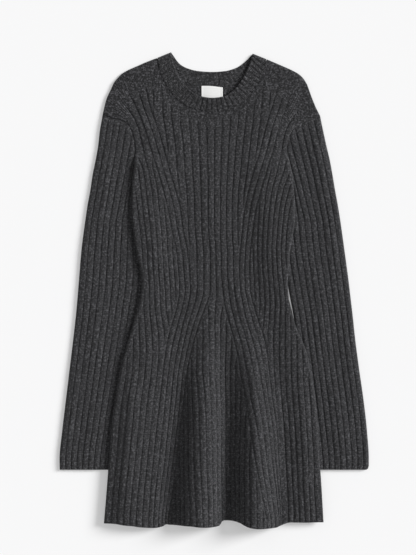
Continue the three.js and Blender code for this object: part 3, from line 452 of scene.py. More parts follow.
def front_ridge(x, y):
    level = np.minimum(y, YOKE_FOOT)
    left = smooth_step((x - side["left"](level) - RIDGE_CLEAR) / RIDGE_BLEND)
    right = smooth_step((side["right"](level) - x - RIDGE_CLEAR) / RIDGE_BLEND)
    top = smooth_step((RIDGES_TOP - y) / RIDGES_TOP_BLEND)
    return ridges(x, y, FRONT_RIDGES) * left * right * top


def front_inside(x, y):
    rise = rise_over_sleeves(x, y, FRONT_RISE_AHEAD, FRONT_RISE)
    return UPPER + rise + fold_height(x, y) + front_ridge(x, y)


def out_of_front(x, y, out):
    """Points that far out of the front's inside, square to it."""
    step = 0.5
    slope_x = front_inside(x - step, y) - front_inside(x + step, y)
    slope_y = front_inside(x, y - step) - front_inside(x, y + step)
    size = np.sqrt(slope_x ** 2 + slope_y ** 2 + (2 * step) ** 2)
    z = front_inside(x, y) + out * 2 * step / size
    return np.stack([x + out * slope_x / size, y + out * slope_y / size, z], -1)


def uneven(x, y):
    """How much the ribs swell and sink along the cloth, around 1, in waves of several lengths."""
    slow = np.sin(x / 19 + 2 * np.sin(y / 43)) * np.sin(y / 27 + 1.7 * np.sin(x / 33))
    quick = np.sin(x / 5.3 + y / 9.1) * np.sin(y / 6.1 - x / 8.3)
    return 1 + SLOW_SWELL * slow + QUICK_SWELL * quick


def rib_profile(across):
    """A rib's height from 0 to 1: a broad round crown between narrow valleys."""
    from_crown = np.abs(2 * np.asarray(across) - 1)
    return np.clip(1 - from_crown ** CROWN_BREADTH, 0, 1) ** CROWN_ROUNDNESS


# The neck seam and the top edges

def neck_half(rows):
    mid_x = rows["free_x"] + rows["seam_x"]
    mid_y = rows["free_y"] + rows["seam_y"]
    lengths = np.hypot(np.diff(mid_x), np.diff(mid_y))
    shares = np.concatenate([[0], np.cumsum(lengths)]) / lengths.sum()
    at = curves({**rows, "share": shares}, "share")

    def half(share, across):
        x = lerp(at["free_x"](share), at["seam_x"](share), across)
        y = lerp(at["free_y"](share), at["seam_y"](share), across)
        return x, y

    return half


neck_front = neck_half(NECK_FRONT)
neck_back = neck_half(NECK_BACK)
SEAM_SHARES = np.linspace(0, 1, 400)


def top_edge(half, x):
    """The height of the panel's top edge over x: shoulder, neck seam, shoulder."""
    seam_x, seam_y = half(SEAM_SHARES, 1)
    x = np.atleast_1d(x)
    y = np.interp(x, seam_x, seam_y)
    y = np.where(x <= SHOULDER_LEFT["x"][-1], shoulder_left(x), y)
    return np.where(x >= SHOULDER_RIGHT["x"][0], shoulder_right(x), y)


# Strips of ribs across a panel

GUIDE_NAMES = list(RIB_GUIDES)[1:7]
GORE_VANISHED = 0.14  # a rib cut off to less than this share of its pitch is left out
FAN_VANISHED = 0.2
GUIDE_VANISHED = 0.3
EDGE_VANISHED = 0.35
TAPER = 0.35
GORE_POINTS = 121
TOP_ROUNDS = 40
EDGE_POINTS = 900


def taper(clear, vanished):
    """How deep a valley is that runs out towards a line, by its distance from it in ribs."""
    return float(smooth_step((clear - vanished) / TAPER))


def fan_valleys(key, ribs, gore_on_right):
    """Valleys counted out from the gore's edge. The last rib, at the inner line, may be cut off."""
    whole = int(ribs)
    if ribs - whole < FAN_VANISHED:
        whole -= 1
    deep = {k: taper(ribs - k, FAN_VANISHED) for k in range(1, whole + 1)}
    if gore_on_right:
        inner = [(f"{key}{k}", 1 - k / ribs, -k, deep[k]) for k in range(whole, 0, -1)]
        return [(key, 0, -whole - 1, 1)] + inner
    return [(key, 0, 0, 1)] + [(f"{key}{k}", k / ribs, k, deep[k]) for k in range(1, whole + 1)]


def even_pair(key):
    return [(f"{key}0", 0, 0, 1), (f"{key}1", 0.5, 1, 1)]


def side_valleys(key, start, pitch, ends, clear):
    """Valleys a pitch apart that go on from a known one to both ends of the strip."""
    left, right = ends
    first = math.ceil((left - start) / pitch + clear[0])
    last = math.floor((right - start) / pitch - clear[1])
    found = [(key, 0, first - 1, 1)]
    for k in range(first, last + 1):
        x = start + k * pitch
        deep = min(taper((x - left) / pitch, clear[0]), taper((right - x) / pitch, clear[1]))
        found.append((f"{key}{k}", (x - left) / (right - left), k, deep))
    return found


def gore_valleys(left, right, y, pitch):
    """Valleys at even steps along the folded cloth, from the gore's middle out to its edges."""
    x = np.linspace(left, right, GORE_POINTS)
    z = fold_height(x, np.full_like(x, y))
    length = np.concatenate([[0], np.cumsum(np.hypot(np.diff(x), np.diff(z)))])
    middle = length[GORE_POINTS // 2]
    hidden = GORE_VANISHED * pitch
    reach = int(max(middle, length[-1] - middle) / pitch)
    found = []
    for k in range(-reach, reach + 1):
        target = middle + k * pitch
        if hidden < target < length[-1] - hidden:
            share = (np.interp(target, length, x) - left) / (right - left)
            clear = min(target, length[-1] - target) / pitch
            found.append((f"gore{k}", float(share), k, taper(clear, GORE_VANISHED)))
    first = found[0][2] - 1 if found else -1
    return [("gore", 0, first, 1)] + found


def strips_at(y, count_at=None):
    """The strips between the guides at a height. Each has its two edges and its valleys, as a key,
    a share of the way across the strip, a rib number and a depth."""
    count_at = y if count_at is None else count_at
    at = {name: float(column(y)[0]) for name, column in guide.items()}
    ribs_left, ribs_right = (
        float(np.interp(count_at, FAN_RIBS["y"], FAN_RIBS[name])) for name in ("left", "right"))
    ends = [float(side[name](y)[0]) for name in ("left", "right")]
    lines = [ends[0]] + [at[name] for name in GUIDE_NAMES] + [ends[1]]
    vanished = (EDGE_VANISHED, GUIDE_VANISHED)
    valleys = [
        side_valleys("edge", at["side_left"], at["pitch_left"], lines[:2], vanished),
        even_pair("pair_left"),
        fan_valleys("fan_left", ribs_left, True),
        gore_valleys(at["gore_left"], at["gore_right"], y, at["pitch_gore"]),
        fan_valleys("fan_right", ribs_right, False),
        even_pair("pair_right"),
        side_valleys("side", at["side_right"], at["pitch_right"], lines[-2:], vanished[::-1]),
    ]
    return list(zip(lines, lines[1:], valleys))


def row_points(strips, samples):
    """Every point across a row: its key, its strip and share across it, the rib's ends, how far
    across the rib it is, the rib's number and how deep the nearer valley is."""
    points = []
    for s, (_, _, valleys) in enumerate(strips):
        for i, (key, share, number, deep) in enumerate(valleys):
            last = i + 1 == len(valleys)
            after, after_deep = (1, 1) if last else (valleys[i + 1][1], valleys[i + 1][3])
            for n, across in enumerate(samples):
                at = share + (after - share) * across
                depth = deep if across < 0.5 else after_deep
                points.append((f"{key}:{n}", s, at, share, after, across, number, depth))
    _, share, number, _ = strips[-1][2][-1]
    points.append(("end", len(strips) - 1, 1, share, 1, 1, number, 1))
    return points


def yoke_tops(half):
    """Where each guide starts on the panel's top edge, between the two armholes' tips."""
    tops = [(ARMHOLE_LEFT["x"][0], ARMHOLE_LEFT["y"][0])]
    for name in GUIDE_NAMES:
        x = guide[name](YOKE_FOOT)
        for _ in range(TOP_ROUNDS):
            x = guide[name](top_edge(half, x))
        tops.append((x[0], top_edge(half, x)[0]))
    tops.append((ARMHOLE_RIGHT["x"][0], ARMHOLE_RIGHT["y"][0]))
    return np.array(tops)


def yoke_place(strip, share, down, half, tops):
    """Points across the yoke, each in its own strip, with where it starts on the top edge and how
    far it lies below it."""
    edges = [on_chain(armhole, "down", down) for armhole in (ARMHOLE_LEFT, ARMHOLE_RIGHT)]
    for i, name in enumerate(GUIDE_NAMES):
        y = lerp(tops[i + 1][1], YOKE_FOOT, down)
        edges.insert(i + 1, [guide[name](y)[0], y])
    edges = np.array(edges)
    a, b = edges[strip], edges[strip + 1]
    top_a, top_b = tops[strip], tops[strip + 1]
    top_x = lerp(top_a[:, 0], top_b[:, 0], share)
    top_y = top_edge(half, top_x)
    bulge = top_y - lerp(top_a[:, 1], top_b[:, 1], share)
    x = lerp(a[:, 0], b[:, 0], share)
    y = lerp(a[:, 1], b[:, 1], share) + bulge * (1 - down) ** 2
    return x, y, top_x, top_y - y


def from_line(x, y, line_x, line_y):
    """How far each point lies from the nearest point of a line."""
    return np.hypot(x[:, None] - line_x, y[:, None] - line_y).min(axis=1)


def body_place(strips, strip, share, y, hem):
    ends = np.array([(left, right) for left, right, _ in strips])
    x = lerp(ends[strip, 0], ends[strip, 1], share)
    if y > HEM_ROW_STARTS:
        return x, np.full_like(x, y)
    down = (y - HEM_ROW_STARTS) / (LAST_ROW - HEM_ROW_STARTS)
    return x, lerp(HEM_ROW_STARTS, hem(x), down)


def back_hem(x):
    from_side = np.minimum(x - side["left"](LAST_ROW), side["right"](LAST_ROW) - x)
    return lerp(hem_line(x) + BACK_HEM_SHORTER, BACK_HEM, smooth_step(from_side / BACK_HEM_BLEND))


def rows_down(start, end, step, last):
    """Heights from start to end at even steps, with the last few close to the end."""
    even = np.linspace(start, end, round((start - end) / step) + 1)
    return [y for y in even if y > end + EDGE_ROWS] + [end + above for above in last]


def panel_rows(half, hem, samples, step):
    """Rows of a body panel from its top edge to its hem, with all that is known of each point."""
    tops = yoke_tops(half)
    edge_x = np.linspace(tops[0][0], tops[-1][0], EDGE_POINTS)
    edge_y = top_edge(half, edge_x)
    foot = strips_at(YOKE_FOOT)
    downs = [*YOKE_TOP_ROWS, *np.linspace(YOKE_TOP_ROWS[-1], 1, round(YOKE_HEIGHT / step) + 1)[1:]]
    heights = rows_down(YOKE_FOOT, LAST_ROW, step, HEM_ROWS)[1:]
    rows = []
    for down, y in [(down, None) for down in downs] + [(1, y) for y in heights]:
        on_yoke = y is None
        if on_yoke:
            middles = np.full(len(foot), 0.5)
            middle_y = yoke_place(np.arange(len(foot)), middles, down, half, tops)[1]
            strips = [strips_at(YOKE_FOOT, float(h))[s] for s, h in enumerate(middle_y)]
        else:
            strips = strips_at(y)
        keys, strip, *numbers = zip(*row_points(strips, samples))
        strip = np.array(strip)
        share, start, after, across, number, deep = np.array(numbers, float)
        row = {
            "keys": list(keys), "across": across, "knit": number + across, "deep": deep, "row": y,
        }
        if on_yoke:
            starts, ends = (yoke_place(strip, at, down, half, tops)[:2] for at in (start, after))
            row["x"], row["y"], row["top_x"], row["depth"] = (
                yoke_place(strip, share, down, half, tops))
            row["from_top"] = from_line(row["x"], row["y"], edge_x, edge_y) if down else 0 * share
        else:
            (row["x"], row["y"]), starts, ends = (
                body_place(strips, strip, at, y, hem) for at in (share, start, after))
        row["width"] = np.hypot(ends[0] - starts[0], ends[1] - starts[1])
        rows.append(row)
    return rows


# Meshes from rows of points

RING_JOINT = 1.5  # a triangle that is wider, in ribs, spans a ring's joint


def add_object(name, data):
    obj = bpy.data.objects.new(name, data)
    bpy.context.scene.collection.objects.link(obj)
    return obj


def squared_distance(p, q):
    return (p[0] - q[0]) ** 2 + (p[1] - q[1]) ** 2 + (p[2] - q[2]) ** 2


class Surface:
    """Points and triangles of one piece. Each point has a knit coordinate, its place between a
    valley (0) and a crown (1), which sets its painted valley shade, and how far the ribs have set
    in."""

    def __init__(self, rows):
        count = 0
        for row in rows:
            n = len(row["at"])
            row["numbers"] = list(range(count, count + n))
            row.setdefault("knit", np.zeros((n, 2)))
            row.setdefault("crown", np.full(n, 0.5))
            row.setdefault("ribbed", np.ones(n))
            count += n
        for name in ("at", "knit", "crown", "ribbed"):
            setattr(self, name, np.concatenate([row[name] for row in rows]))
        self.flat = self.at.tolist()
        self.faces = []

    def join(self, a, b):
        """Triangles between two lines of points, across the shorter way each time."""
        at, faces = self.flat, self.faces
        i = j = 0
        last_a, last_b = len(a) - 1, len(b) - 1
        while i < last_a or j < last_b:
            go_a = i < last_a
            if go_a and j < last_b:
                first = squared_distance(at[a[i + 1]], at[b[j]])
                go_a = first <= squared_distance(at[a[i]], at[b[j + 1]])
            if go_a:
                faces.append((a[i], a[i + 1], b[j]))
                i += 1
            else:
                faces.append((a[i], b[j + 1], b[j]))
                j += 1

    def stitch(self, a, b):
        """Triangles between two rows whose ends meet and whose points with the same key meet."""
        row_a, row_b = a["numbers"], b["numbers"]
        places = {key: j for j, key in enumerate(b["keys"][:-1]) if j}
        from_a = from_b = 0
        for i in range(1, len(row_a)):
            j = len(row_b) - 1 if i == len(row_a) - 1 else places.get(a["keys"][i])
            if j is not None and j > from_b:
                self.join(row_a[from_a:i + 1], row_b[from_b:j + 1])
                from_a, from_b = i, j

    def make(self, name, material):
        faces = np.array(self.faces, np.int32)
        a, b, c = (self.at[faces[:, i]] for i in range(3))
        if np.einsum("ij,ij->i", a, np.cross(b, c)).sum() < 0:
            faces = faces[:, ::-1]
        at = (self.at + np.array([SHIFT_X, SHIFT_Y, 0])) / 1000
        mesh = bpy.data.meshes.new(name)
        mesh.vertices.add(len(at))
        mesh.vertices.foreach_set("co", at.astype(np.float32).ravel())
        mesh.loops.add(faces.size)
        mesh.loops.foreach_set("vertex_index", faces.ravel())
        mesh.polygons.add(len(faces))
        mesh.polygons.foreach_set("loop_start", np.arange(0, faces.size, 3, dtype=np.int32))
        mesh.update(calc_edges=True)
        mesh.validate()
        knit = self.knit[faces].copy()
        across = knit[:, :, 0]
        low = across.min(axis=1, keepdims=True)
        # A ring's last triangles, which join its end to its start, get a short step instead
        wide = across.max(axis=1, keepdims=True) - low > RING_JOINT
        joint = np.floor(low) + 1
        knit[:, :, 0] = np.where(wide & (across > low + RING_JOINT), joint, across)
        layer = mesh.uv_layers.new(name="knit")
        layer.data.foreach_set("uv", knit.astype(np.float32).ravel())
        for values_name, values in (("crown", self.crown), ("ribbed", self.ribbed)):
            attribute = mesh.attributes.new(values_name, "FLOAT", "POINT")
            attribute.data.foreach_set("value", values.astype(np.float32))
        mesh.polygons.foreach_set("use_smooth", np.ones(len(faces), bool))
        mesh.materials.append(material)
        obj = add_object(name, mesh)
        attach(obj, "root")
        return obj


def shell(name, material, outer, inner, ring=False):
    """A closed wall from its outer rows and its inner rows, each a dict with at, and knit, crown
    and ribbed where they aren't plain. A tube's rows are rings, and need no keys since they match
    point by point."""
    surface = Surface(outer + inner)
    if ring:
        for wall, rows in (("out", outer), ("in", inner)):
            for row in rows:
                row["numbers"].append(row["numbers"][0])
                row["keys"] = [f"{wall}{i}" for i in range(len(row["numbers"]))]
    pairs = [*zip(outer, outer[1:]), *zip(inner[1:], inner)]
    for a, b in pairs + [(inner[0], outer[0]), (outer[-1], inner[-1])]:
        surface.stitch(a, b)
    if not ring:
        for end, first, second in ((0, outer, inner), (-1, inner, outer)):
            surface.join(*([row["numbers"][end] for row in rows] for rows in (first, second)))
    return surface.make(name, material)


def points(x, y, z):
    return np.stack([x, y, z], -1)


def knit_at(ribs, along):
    """Knit coordinates: ribs across, and along the cloth in its own unit."""
    return np.stack([ribs, along / KNIT_UNIT], -1)


# Materials

class Look:
    """A material, its shader and a short way to add nodes."""

    def __init__(self, name, settings):
        self.material = bpy.data.materials.new(name)
        self.material.use_nodes = True
        self.tree = self.material.node_tree
        self.shader = self.tree.nodes["Principled BSDF"]
        self.fill(self.shader, settings)

    def fill(self, node, values):
        """Each value goes into the socket of that name or number, as a link or as a constant."""
        for name, value in values.items():
            if isinstance(value, bpy.types.NodeSocket):
                self.tree.links.new(value, node.inputs[name])
            else:
                node.inputs[name].default_value = value

    def node(self, kind, values, **fields):
        """A new node's outputs."""
        node = self.tree.nodes.new("ShaderNode" + kind)
        for field, value in fields.items():
            setattr(node, field, value)
        self.fill(node, values)
        return node.outputs

    def math(self, operation, *values):
        return self.node("Math", dict(enumerate(values)), operation=operation)[0]

    def times(self, a, b):
        return self.math("MULTIPLY", a, b)

    def scaled(self, value, factor, plus):
        return self.math("MULTIPLY_ADD", value, factor, plus)

    def noise(self, vector, scale, detail=2.0, roughness=0.5):
        values = {"Vector": vector, "Scale": scale, "Detail": detail, "Roughness": roughness}
        return self.node("TexNoise", values)[0]

    def ramp(self, value, first, last, *between):
        """Colours by value, through stops that are each a position and a colour."""
        node = self.tree.nodes.new("ShaderNodeValToRGB")
        elements = node.color_ramp.elements
        for element, (position, color) in zip(elements, (first, last)):
            element.position = position
            element.color = (*color, 1)
        for position, color in between:
            elements.new(position).color = (*color, 1)
        self.fill(node, {0: value})
        return node.outputs[0]

    def bump(self, height, strength, distance):
        values = {"Strength": strength, "Distance": distance, "Height": height}
        self.fill(self.shader, {"Normal": self.node("Bump", values)[0]})


def knit_material(name, base, wales, course, valley_shade):
    """Melange knit: stitches in columns across each rib, flecked yarn, a soft fuzz and painted
    shade in the valleys between the ribs.
    """
    look = Look(name, {
        "Roughness": 0.92, "Specular IOR Level": 0.18, "Sheen Weight": 0.25,
        "Sheen Roughness": 0.6, "Sheen Tint": (0.5, 0.5, 0.52, 1),
    })
    calc, times, scaled = look.math, look.times, look.scaled
    knit = look.node("SeparateXYZ", {0: look.node("UVMap", {}, uv_map="knit")[0]})
    along = times(knit["Y"], KNIT_UNIT / course)
    across = times(knit["X"], wales)
    wale = calc("FRACT", calc("ADD", across, 0.5))
    from_middle = calc("ABSOLUTE", calc("SUBTRACT", wale, 0.5))
    slant = scaled(from_middle, 1.3, along)
    turn = calc("SINE", times(slant, 2 * math.pi))
    loops = scaled(scaled(turn, 0.5, 0.5), 0.5, 0.5)
    legs = calc("ABSOLUTE", calc("SINE", times(wale, 2 * math.pi)))
    stitch = times(calc("POWER", legs, 0.6), loops)

    # Flecks follow the yarn: long along the wale, short across it
    stretch = look.node("CombineXYZ", {"X": across, "Y": slant})
    yarn = look.noise(stretch[0], 1.0, 1.5, 0.6)
    where = look.node("TexCoord", {})["Object"]
    fuzz = look.noise(where, 310.0, 1.5, 0.6)
    cloud = look.noise(where, 26.0)
    fleck = scaled(fuzz, 0.9, times(yarn, 0.4))
    stops = ((0.46, 0.35), (0.84, 3.6), (0.61, 0.78), (0.69, 1.25))
    color = look.ramp(fleck, *((at, [share * c for c in base]) for at, share in stops))

    # Painted shade makes the valleys darker, by the crown attribute, and cloth whose ribs haven't
    # set in is smoother and a little darker
    crown = look.node("Attribute", {}, attribute_name="crown")["Fac"]
    ribbed = look.node("Attribute", {}, attribute_name="ribbed")["Fac"]
    shade = scaled(crown, valley_shade, 0.99 - valley_shade)
    clear = scaled(ribbed, 0.7, 0.3)
    stitch = times(calc("SUBTRACT", stitch, 0.45), clear)
    plain = scaled(ribbed, 0.16, 0.84)
    shade = times(shade, scaled(stitch, 0.35, plain))
    shade = times(shade, scaled(cloud, 0.3, 0.85))
    tint = look.node("VectorMath", {0: color, "Scale": shade}, operation="SCALE")
    look.fill(look.shader, {"Base Color": tint[0]})
    look.bump(scaled(fuzz, 1.2, stitch), 1.0, 0.0014)
    return look.material


def label_material():
    look = Look("woven_label", {"Roughness": 0.55})
    where = look.node("TexCoord", {})["Object"]
    color = look.ramp(look.noise(where, 320.0), (0, (0.8, 0.8, 0.79)), (1, (0.88, 0.88, 0.87)))
    look.fill(look.shader, {"Base Color": color})
    values = {"Vector": where, "Scale": 420.0, "Distortion": 0.6}
    weave = look.node("TexWave", values, bands_direction="Y")
    look.bump(weave["Color"], 0.35, 0.0003)
    return look.material


# Each has the linear colour of its yarn and how much painted shade darkens its rib valleys
rib_knit = knit_material("rib_knit", (0.0275, 0.0275, 0.0295), 3, 3.3, 0.15)
fine_knit = knit_material("fine_rib_knit", (0.0282, 0.0282, 0.03), 2, 3.0, 0.45)
woven_label = label_material()


# Pieces

def from_ends(x, y, ends):
    """How far each point lies from the nearer of two points."""
    return np.minimum(*(np.hypot(x - end_x, y - end_y) for end_x, end_y in ends))


def folded(x, y, z, ends):
    """Points of a layer that curves to the folds at its two ends."""
    return points(x, y, lerp(FOLD_LEVEL, z, rounded(from_ends(x, y, ends), FOLD_REACH)))


def row_profile(row):
    """The ribs' profile across a row, with the valleys that run out filled in."""
    return 1 - (1 - rib_profile(row["across"])) * row["deep"]


def rib_share(row):
    """How much of their height the ribs have: less on narrow ribs, and less where they set in."""
    narrow = np.clip(row["width"] / NARROW_RIB, 0, 1)
    if row["row"] is not None:
        return narrow
    from_middle = np.abs(row["top_x"] - NECK_MIDDLE)
    on_shoulder = smooth_step((from_middle - SHOULDER_STARTS) / SHOULDER_BLEND)
    at_tip = smooth_step((from_middle - TIP_STARTS) / TIP_BLEND)
    start = on_shoulder * SHOULDER_PLAIN * (1 - at_tip)
    reach = lerp(NECK_SET_IN, SHOULDER_SET_IN, on_shoulder)
    return narrow * smooth_step((row["depth"] - start) / reach)


def edge_walls(row):
    """How far a row's points are from the wall's rounded edges, from 0 to 1, at its sides and at
    its end, with the wall that is left at each edge."""
    x, y = row["x"], row["y"]
    away = from_ends(x, y, ((x[0], y[0]), (x[-1], y[-1])))
    if row["row"] is not None:
        at_end = rounded(row["row"] - LAST_ROW, HEM_ROUND)
        return rounded(away, SIDE_ROUND), EDGE_WALL, at_end, EDGE_WALL
    on_neck = (row["top_x"] > SHOULDER_LEFT["x"][-1]) & (row["top_x"] < SHOULDER_RIGHT["x"][0])
    at_end = rounded(row["from_top"], np.where(on_neck, SEAM_ROUND, SHOULDER_ROUND))
    return rounded(away, SEAM_ROUND), SEAM_WALL, at_end, np.where(on_neck, NECK_WALL, EDGE_WALL)


def make_front():
    rows = panel_rows(neck_front, hem_line, ACROSS_RIB, ROW_STEP)
    outer, inner = [], []
    for row in rows:
        x, y = row["x"], row["y"]
        profile, share = row_profile(row), rib_share(row)
        relief = profile * RIB_HEIGHT - (1 - profile) * GROOVE
        wall = WALL + relief * share * uneven(x, y)
        at_side, side_wall, at_end, end_wall = edge_walls(row)
        out = np.minimum(lerp(side_wall, wall, at_side), lerp(end_wall, wall, at_end))
        outer.append({
            "keys": row["keys"], "at": out_of_front(x, y, out), "knit": knit_at(row["knit"], y),
            "crown": lerp(SMOOTH_CROWN, profile, share), "ribbed": share,
        })
    for row in rows[::INSIDE_EVERY] + rows[-1:]:
        # The inside has a point at each valley and at each crown
        spots = [(i, key) for i, key in enumerate(row["keys"]) if key.endswith((":0", ":4", "end"))]
        chosen, keys = (list(part) for part in zip(*spots))
        x, y = row["x"][chosen], row["y"][chosen]
        inner.append({
            "keys": keys, "at": out_of_front(x, y, 0 * x), "knit": knit_at(row["knit"][chosen], y),
            "crown": np.where([key.endswith(":4") for key in keys], *INSIDE_CROWNS),
        })
    return shell("front_panel", rib_knit, outer, inner)


def make_back():
    outer, inner = [], []
    for row in panel_rows(neck_back, back_hem, ACROSS_BACK_RIB, BACK_ROW_STEP):
        x, y = row["x"], row["y"]
        low = rise_over_sleeves(x, y, 0, BACK_RISE)
        profile, share = row_profile(row), rib_share(row)
        at_side, _, at_end, _ = edge_walls(row)
        inside_valley = (1 - rib_profile((row["across"] + 0.5) % 1)) * share
        top = low + WALL - PLAIN_GROOVE * (1 - profile) * share
        bottom = low + PLAIN_GROOVE * inside_valley
        bottom = lerp(low + WALL - EDGE_WALL, bottom, np.minimum(at_side, at_end))
        knit = knit_at(row["knit"], y)
        outer.append({
            "keys": row["keys"], "at": points(x, y, top), "knit": knit,
            "crown": lerp(SMOOTH_CROWN, profile, share), "ribbed": share,
        })
        inner.append({
            "keys": row["keys"], "at": points(x, y, bottom), "knit": knit + [0.5, 0],
            "crown": 1 - inside_valley,
        })
    return shell("back_panel", rib_knit, outer, inner)


def sleeve_lift(x, y, edge, ridge_table):
    """Soft ridges on the part of the sleeve that no other layer lies on."""
    clear = side["left"](y) - x if edge is sleeve_left else x - side["right"](y)
    from_outer = np.abs(x - edge["outer"](y))
    show = smooth_step((clear - BODY_CLEAR) / BODY_BLEND)
    show = show * smooth_step((from_outer - FOLD_CLEAR) / FOLD_BLEND)
    return ridges(x, y, ridge_table) * show


def make_sleeve(name, edge, head, outward, ridge_table):
    """A flattened tube, in rings that start on its upper layer at the outer fold."""
    def on_head(rib):
        x, y = on_chain(head, "rib", rib)
        return x + outward * SEAM_SHIFT, y - SEAM_SHIFT

    def straight(rib, y):
        x = lerp(edge["outer"](y), edge["inner"](y), rib / SLEEVE_RIBS)
        return x, np.full_like(rib, y)

    def below_head(rib, down):
        from_x, from_y = on_head(rib)
        to_x, to_y = straight(rib, SLEEVE_STRAIGHT)
        tip_x, tip_y = on_head(np.zeros(1))
        tip = lerp(tip_y, SLEEVE_STRAIGHT, down)
        bulge = edge["outer"](tip) - lerp(tip_x, edge["outer"](SLEEVE_STRAIGHT), down)
        near = (1 - rib / SLEEVE_RIBS) ** 2 * smooth_step(down / HEAD_BULGE)
        return lerp(from_x, to_x, down) + near * bulge, lerp(from_y, to_y, down)

    def rib_places(samples):
        ribs = {rib + a for rib in range(SLEEVE_RIBS) for a in samples}
        return np.array(sorted(ribs | set(NEAR_FOLD) | {SLEEVE_RIBS - a for a in NEAR_FOLD}))

    ribs_up = np.append(rib_places(ACROSS_RIB), SLEEVE_RIBS)
    ribs_low = rib_places(ACROSS_BACK_RIB)[:0:-1]
    knit = np.append(ribs_up, 2 * SLEEVE_RIBS - ribs_low)
    plain = len(SLEEVE_PLAIN)
    is_upper = np.array([0] + [1] * plain + [0] * (plain + 1))
    inner_level = np.array([FOLD_LEVEL] + [UPPER] * plain + [FOLD_LEVEL] + [WALL] * plain)
    places = [(below_head, down, SLEEVE_HEAD_LENGTH * down, FAR) for down in SLEEVE_HEAD_ROWS]
    heights = rows_down(SLEEVE_STRAIGHT, CUFF, ROW_STEP, CUFF_ROWS)
    places += [(straight, y, FAR, y - CUFF) for y in heights]

    outer, inner = [], []
    for number, (place, where, from_head, from_cuff) in enumerate(places):
        ends = [place(np.full(1, float(rib)), where) for rib in (0, SLEEVE_RIBS)]
        (first_x, first_y), (last_x, last_y) = ends
        pitch = np.hypot(last_x - first_x, last_y - first_y)[0] / SLEEVE_RIBS
        lift_share = smooth_step(from_head / HEAD_CALM)
        rim = min(
            lerp(HEAD_WALL, 1, float(rounded(from_head, HEAD_ROUND))),
            lerp(CUFF_WALL, 1, float(rounded(from_cuff, CUFF_ROUND))))
        x, y = place(ribs_up, where)
        away = from_ends(x, y, ends)
        profile = rib_profile(ribs_up % 1)
        set_in = np.clip(away / FOLD_REACH, 0, 1) * smooth_step(from_head / HEAD_SET_IN)
        relief = (profile * RIB_HEIGHT - (1 - profile) * GROOVE) * set_in * uneven(x, y)
        top = UPPER + sleeve_lift(x, y, edge, ridge_table) * lift_share + (WALL + relief) * rim
        upper = folded(x, y, top, ends)
        x, y = place(ribs_low, where)
        away = from_ends(x, y, ends)
        low_profile = rib_profile(ribs_low % 1)
        low = PLAIN_GROOVE * (1 - low_profile) * np.clip(away / FOLD_REACH, 0, 1)
        at = np.concatenate([upper, folded(x, y, low, ends)])
        outer.append({
            "at": at, "knit": knit_at(knit, at[:, 1]),
            "crown": np.append(lerp(SMOOTH_CROWN, profile, set_in), low_profile),
        })
        if number % SLEEVE_INSIDE_EVERY == 0 or number == len(places) - 1:
            inset = SLEEVE_INSET / pitch
            spots = np.concatenate(
                [[inset], SLEEVE_PLAIN, [SLEEVE_RIBS - inset], SLEEVE_PLAIN[::-1]])
            x, y = place(spots, where)
            lift = sleeve_lift(x, y, edge, ridge_table) * lift_share
            at = points(x, y, inner_level + lift * is_upper)
            inner.append({"at": at, "knit": knit_at(spots, y)})
    return shell(name, rib_knit, outer, inner, ring=True)


def make_neckband():
    """A folded ring, in rings that start at its left tip and run along the front half first."""
    near_tips = {NECK_TIP, 3 * NECK_TIP, 1 - NECK_TIP, 1 - 3 * NECK_TIP}

    def rib_places(ribs):
        shares = {(rib + a) / ribs for rib in range(ribs) for a in ACROSS_FINE_RIB}
        return np.array(sorted(shares | near_tips))

    front = np.append(rib_places(NECK_RIBS), 1)
    back = rib_places(NECK_BACK_RIBS)[:0:-1]
    front_in = np.linspace(0, 1, NECK_INSIDE_POINTS + 2)[1:-1]
    back_in = back[(back > 0.02) & (back < 0.98)]
    knit = np.append(front * NECK_RIBS, (2 - back) * NECK_BACK_RIBS)
    inner_knit = np.concatenate(
        [[0], front_in * NECK_RIBS, [NECK_RIBS], (2 - back_in) * NECK_BACK_RIBS + 0.5])
    profile = rib_profile((front * NECK_RIBS) % 1)
    back_profile = rib_profile((back * NECK_BACK_RIBS) % 1)
    inner_profile = rib_profile((back_in * NECK_BACK_RIBS + 0.5) % 1)
    outer, inner = [], []
    for across in NECK_ROWS:
        left = min(
            lerp(NECK_FREE_WALL, 1, float(rounded(across * NECK_WIDTH, NECK_FREE_ROUND))),
            lerp(NECK_SEAM_WALL, 1, float(
                rounded((NECK_SEAM_AT - across) * NECK_WIDTH, NECK_SEAM_ROUND))))
        ends = [neck_front(np.full(1, float(end)), across) for end in (0, 1)]

        def underside(share):
            return UPPER + NECK_LIFT * (1 - across) ** NECK_CURL * np.sin(math.pi * share)

        x, y = neck_front(front, across * SEAM_CLOSER)
        relief = profile * FINE_RIB_HEIGHT - (1 - profile) * FINE_GROOVE
        relief = relief * np.clip(from_ends(x, y, ends) / FOLD_REACH, 0, 1)
        top = underside(front) + (WALL + relief) * left
        upper = folded(x, y, top, ends)
        low = FINE_BACK_GROOVE * (1 - back_profile) + (1 - left) * NECK_THIN
        lower = folded(*neck_back(back, across * SEAM_CLOSER), low, ends)
        along = across * NECK_WIDTH
        outer.append({
            "at": np.concatenate([upper, lower]),
            "knit": knit_at(knit, np.full(len(knit), along)),
            "crown": np.append(profile, back_profile),
        })

        upper = points(*neck_front(front_in, across), underside(front_in))
        z = WALL * min(1, left + 0.2) - FINE_INSIDE_GROOVE * (1 - inner_profile)
        lower = points(*neck_back(back_in, across * SEAM_CLOSER), z)
        tips = [[neck_inside_tip(end, across)] for end in (0, 1)]
        inner.append({
            "at": np.concatenate([tips[0], upper, tips[1], lower]),
            "knit": knit_at(inner_knit, np.full(len(inner_knit), along)),
            "crown": np.append(np.full(len(front_in) + 2, 0.6), inner_profile),
        })
    return shell("neckband_ring", fine_knit, outer, inner, ring=True)


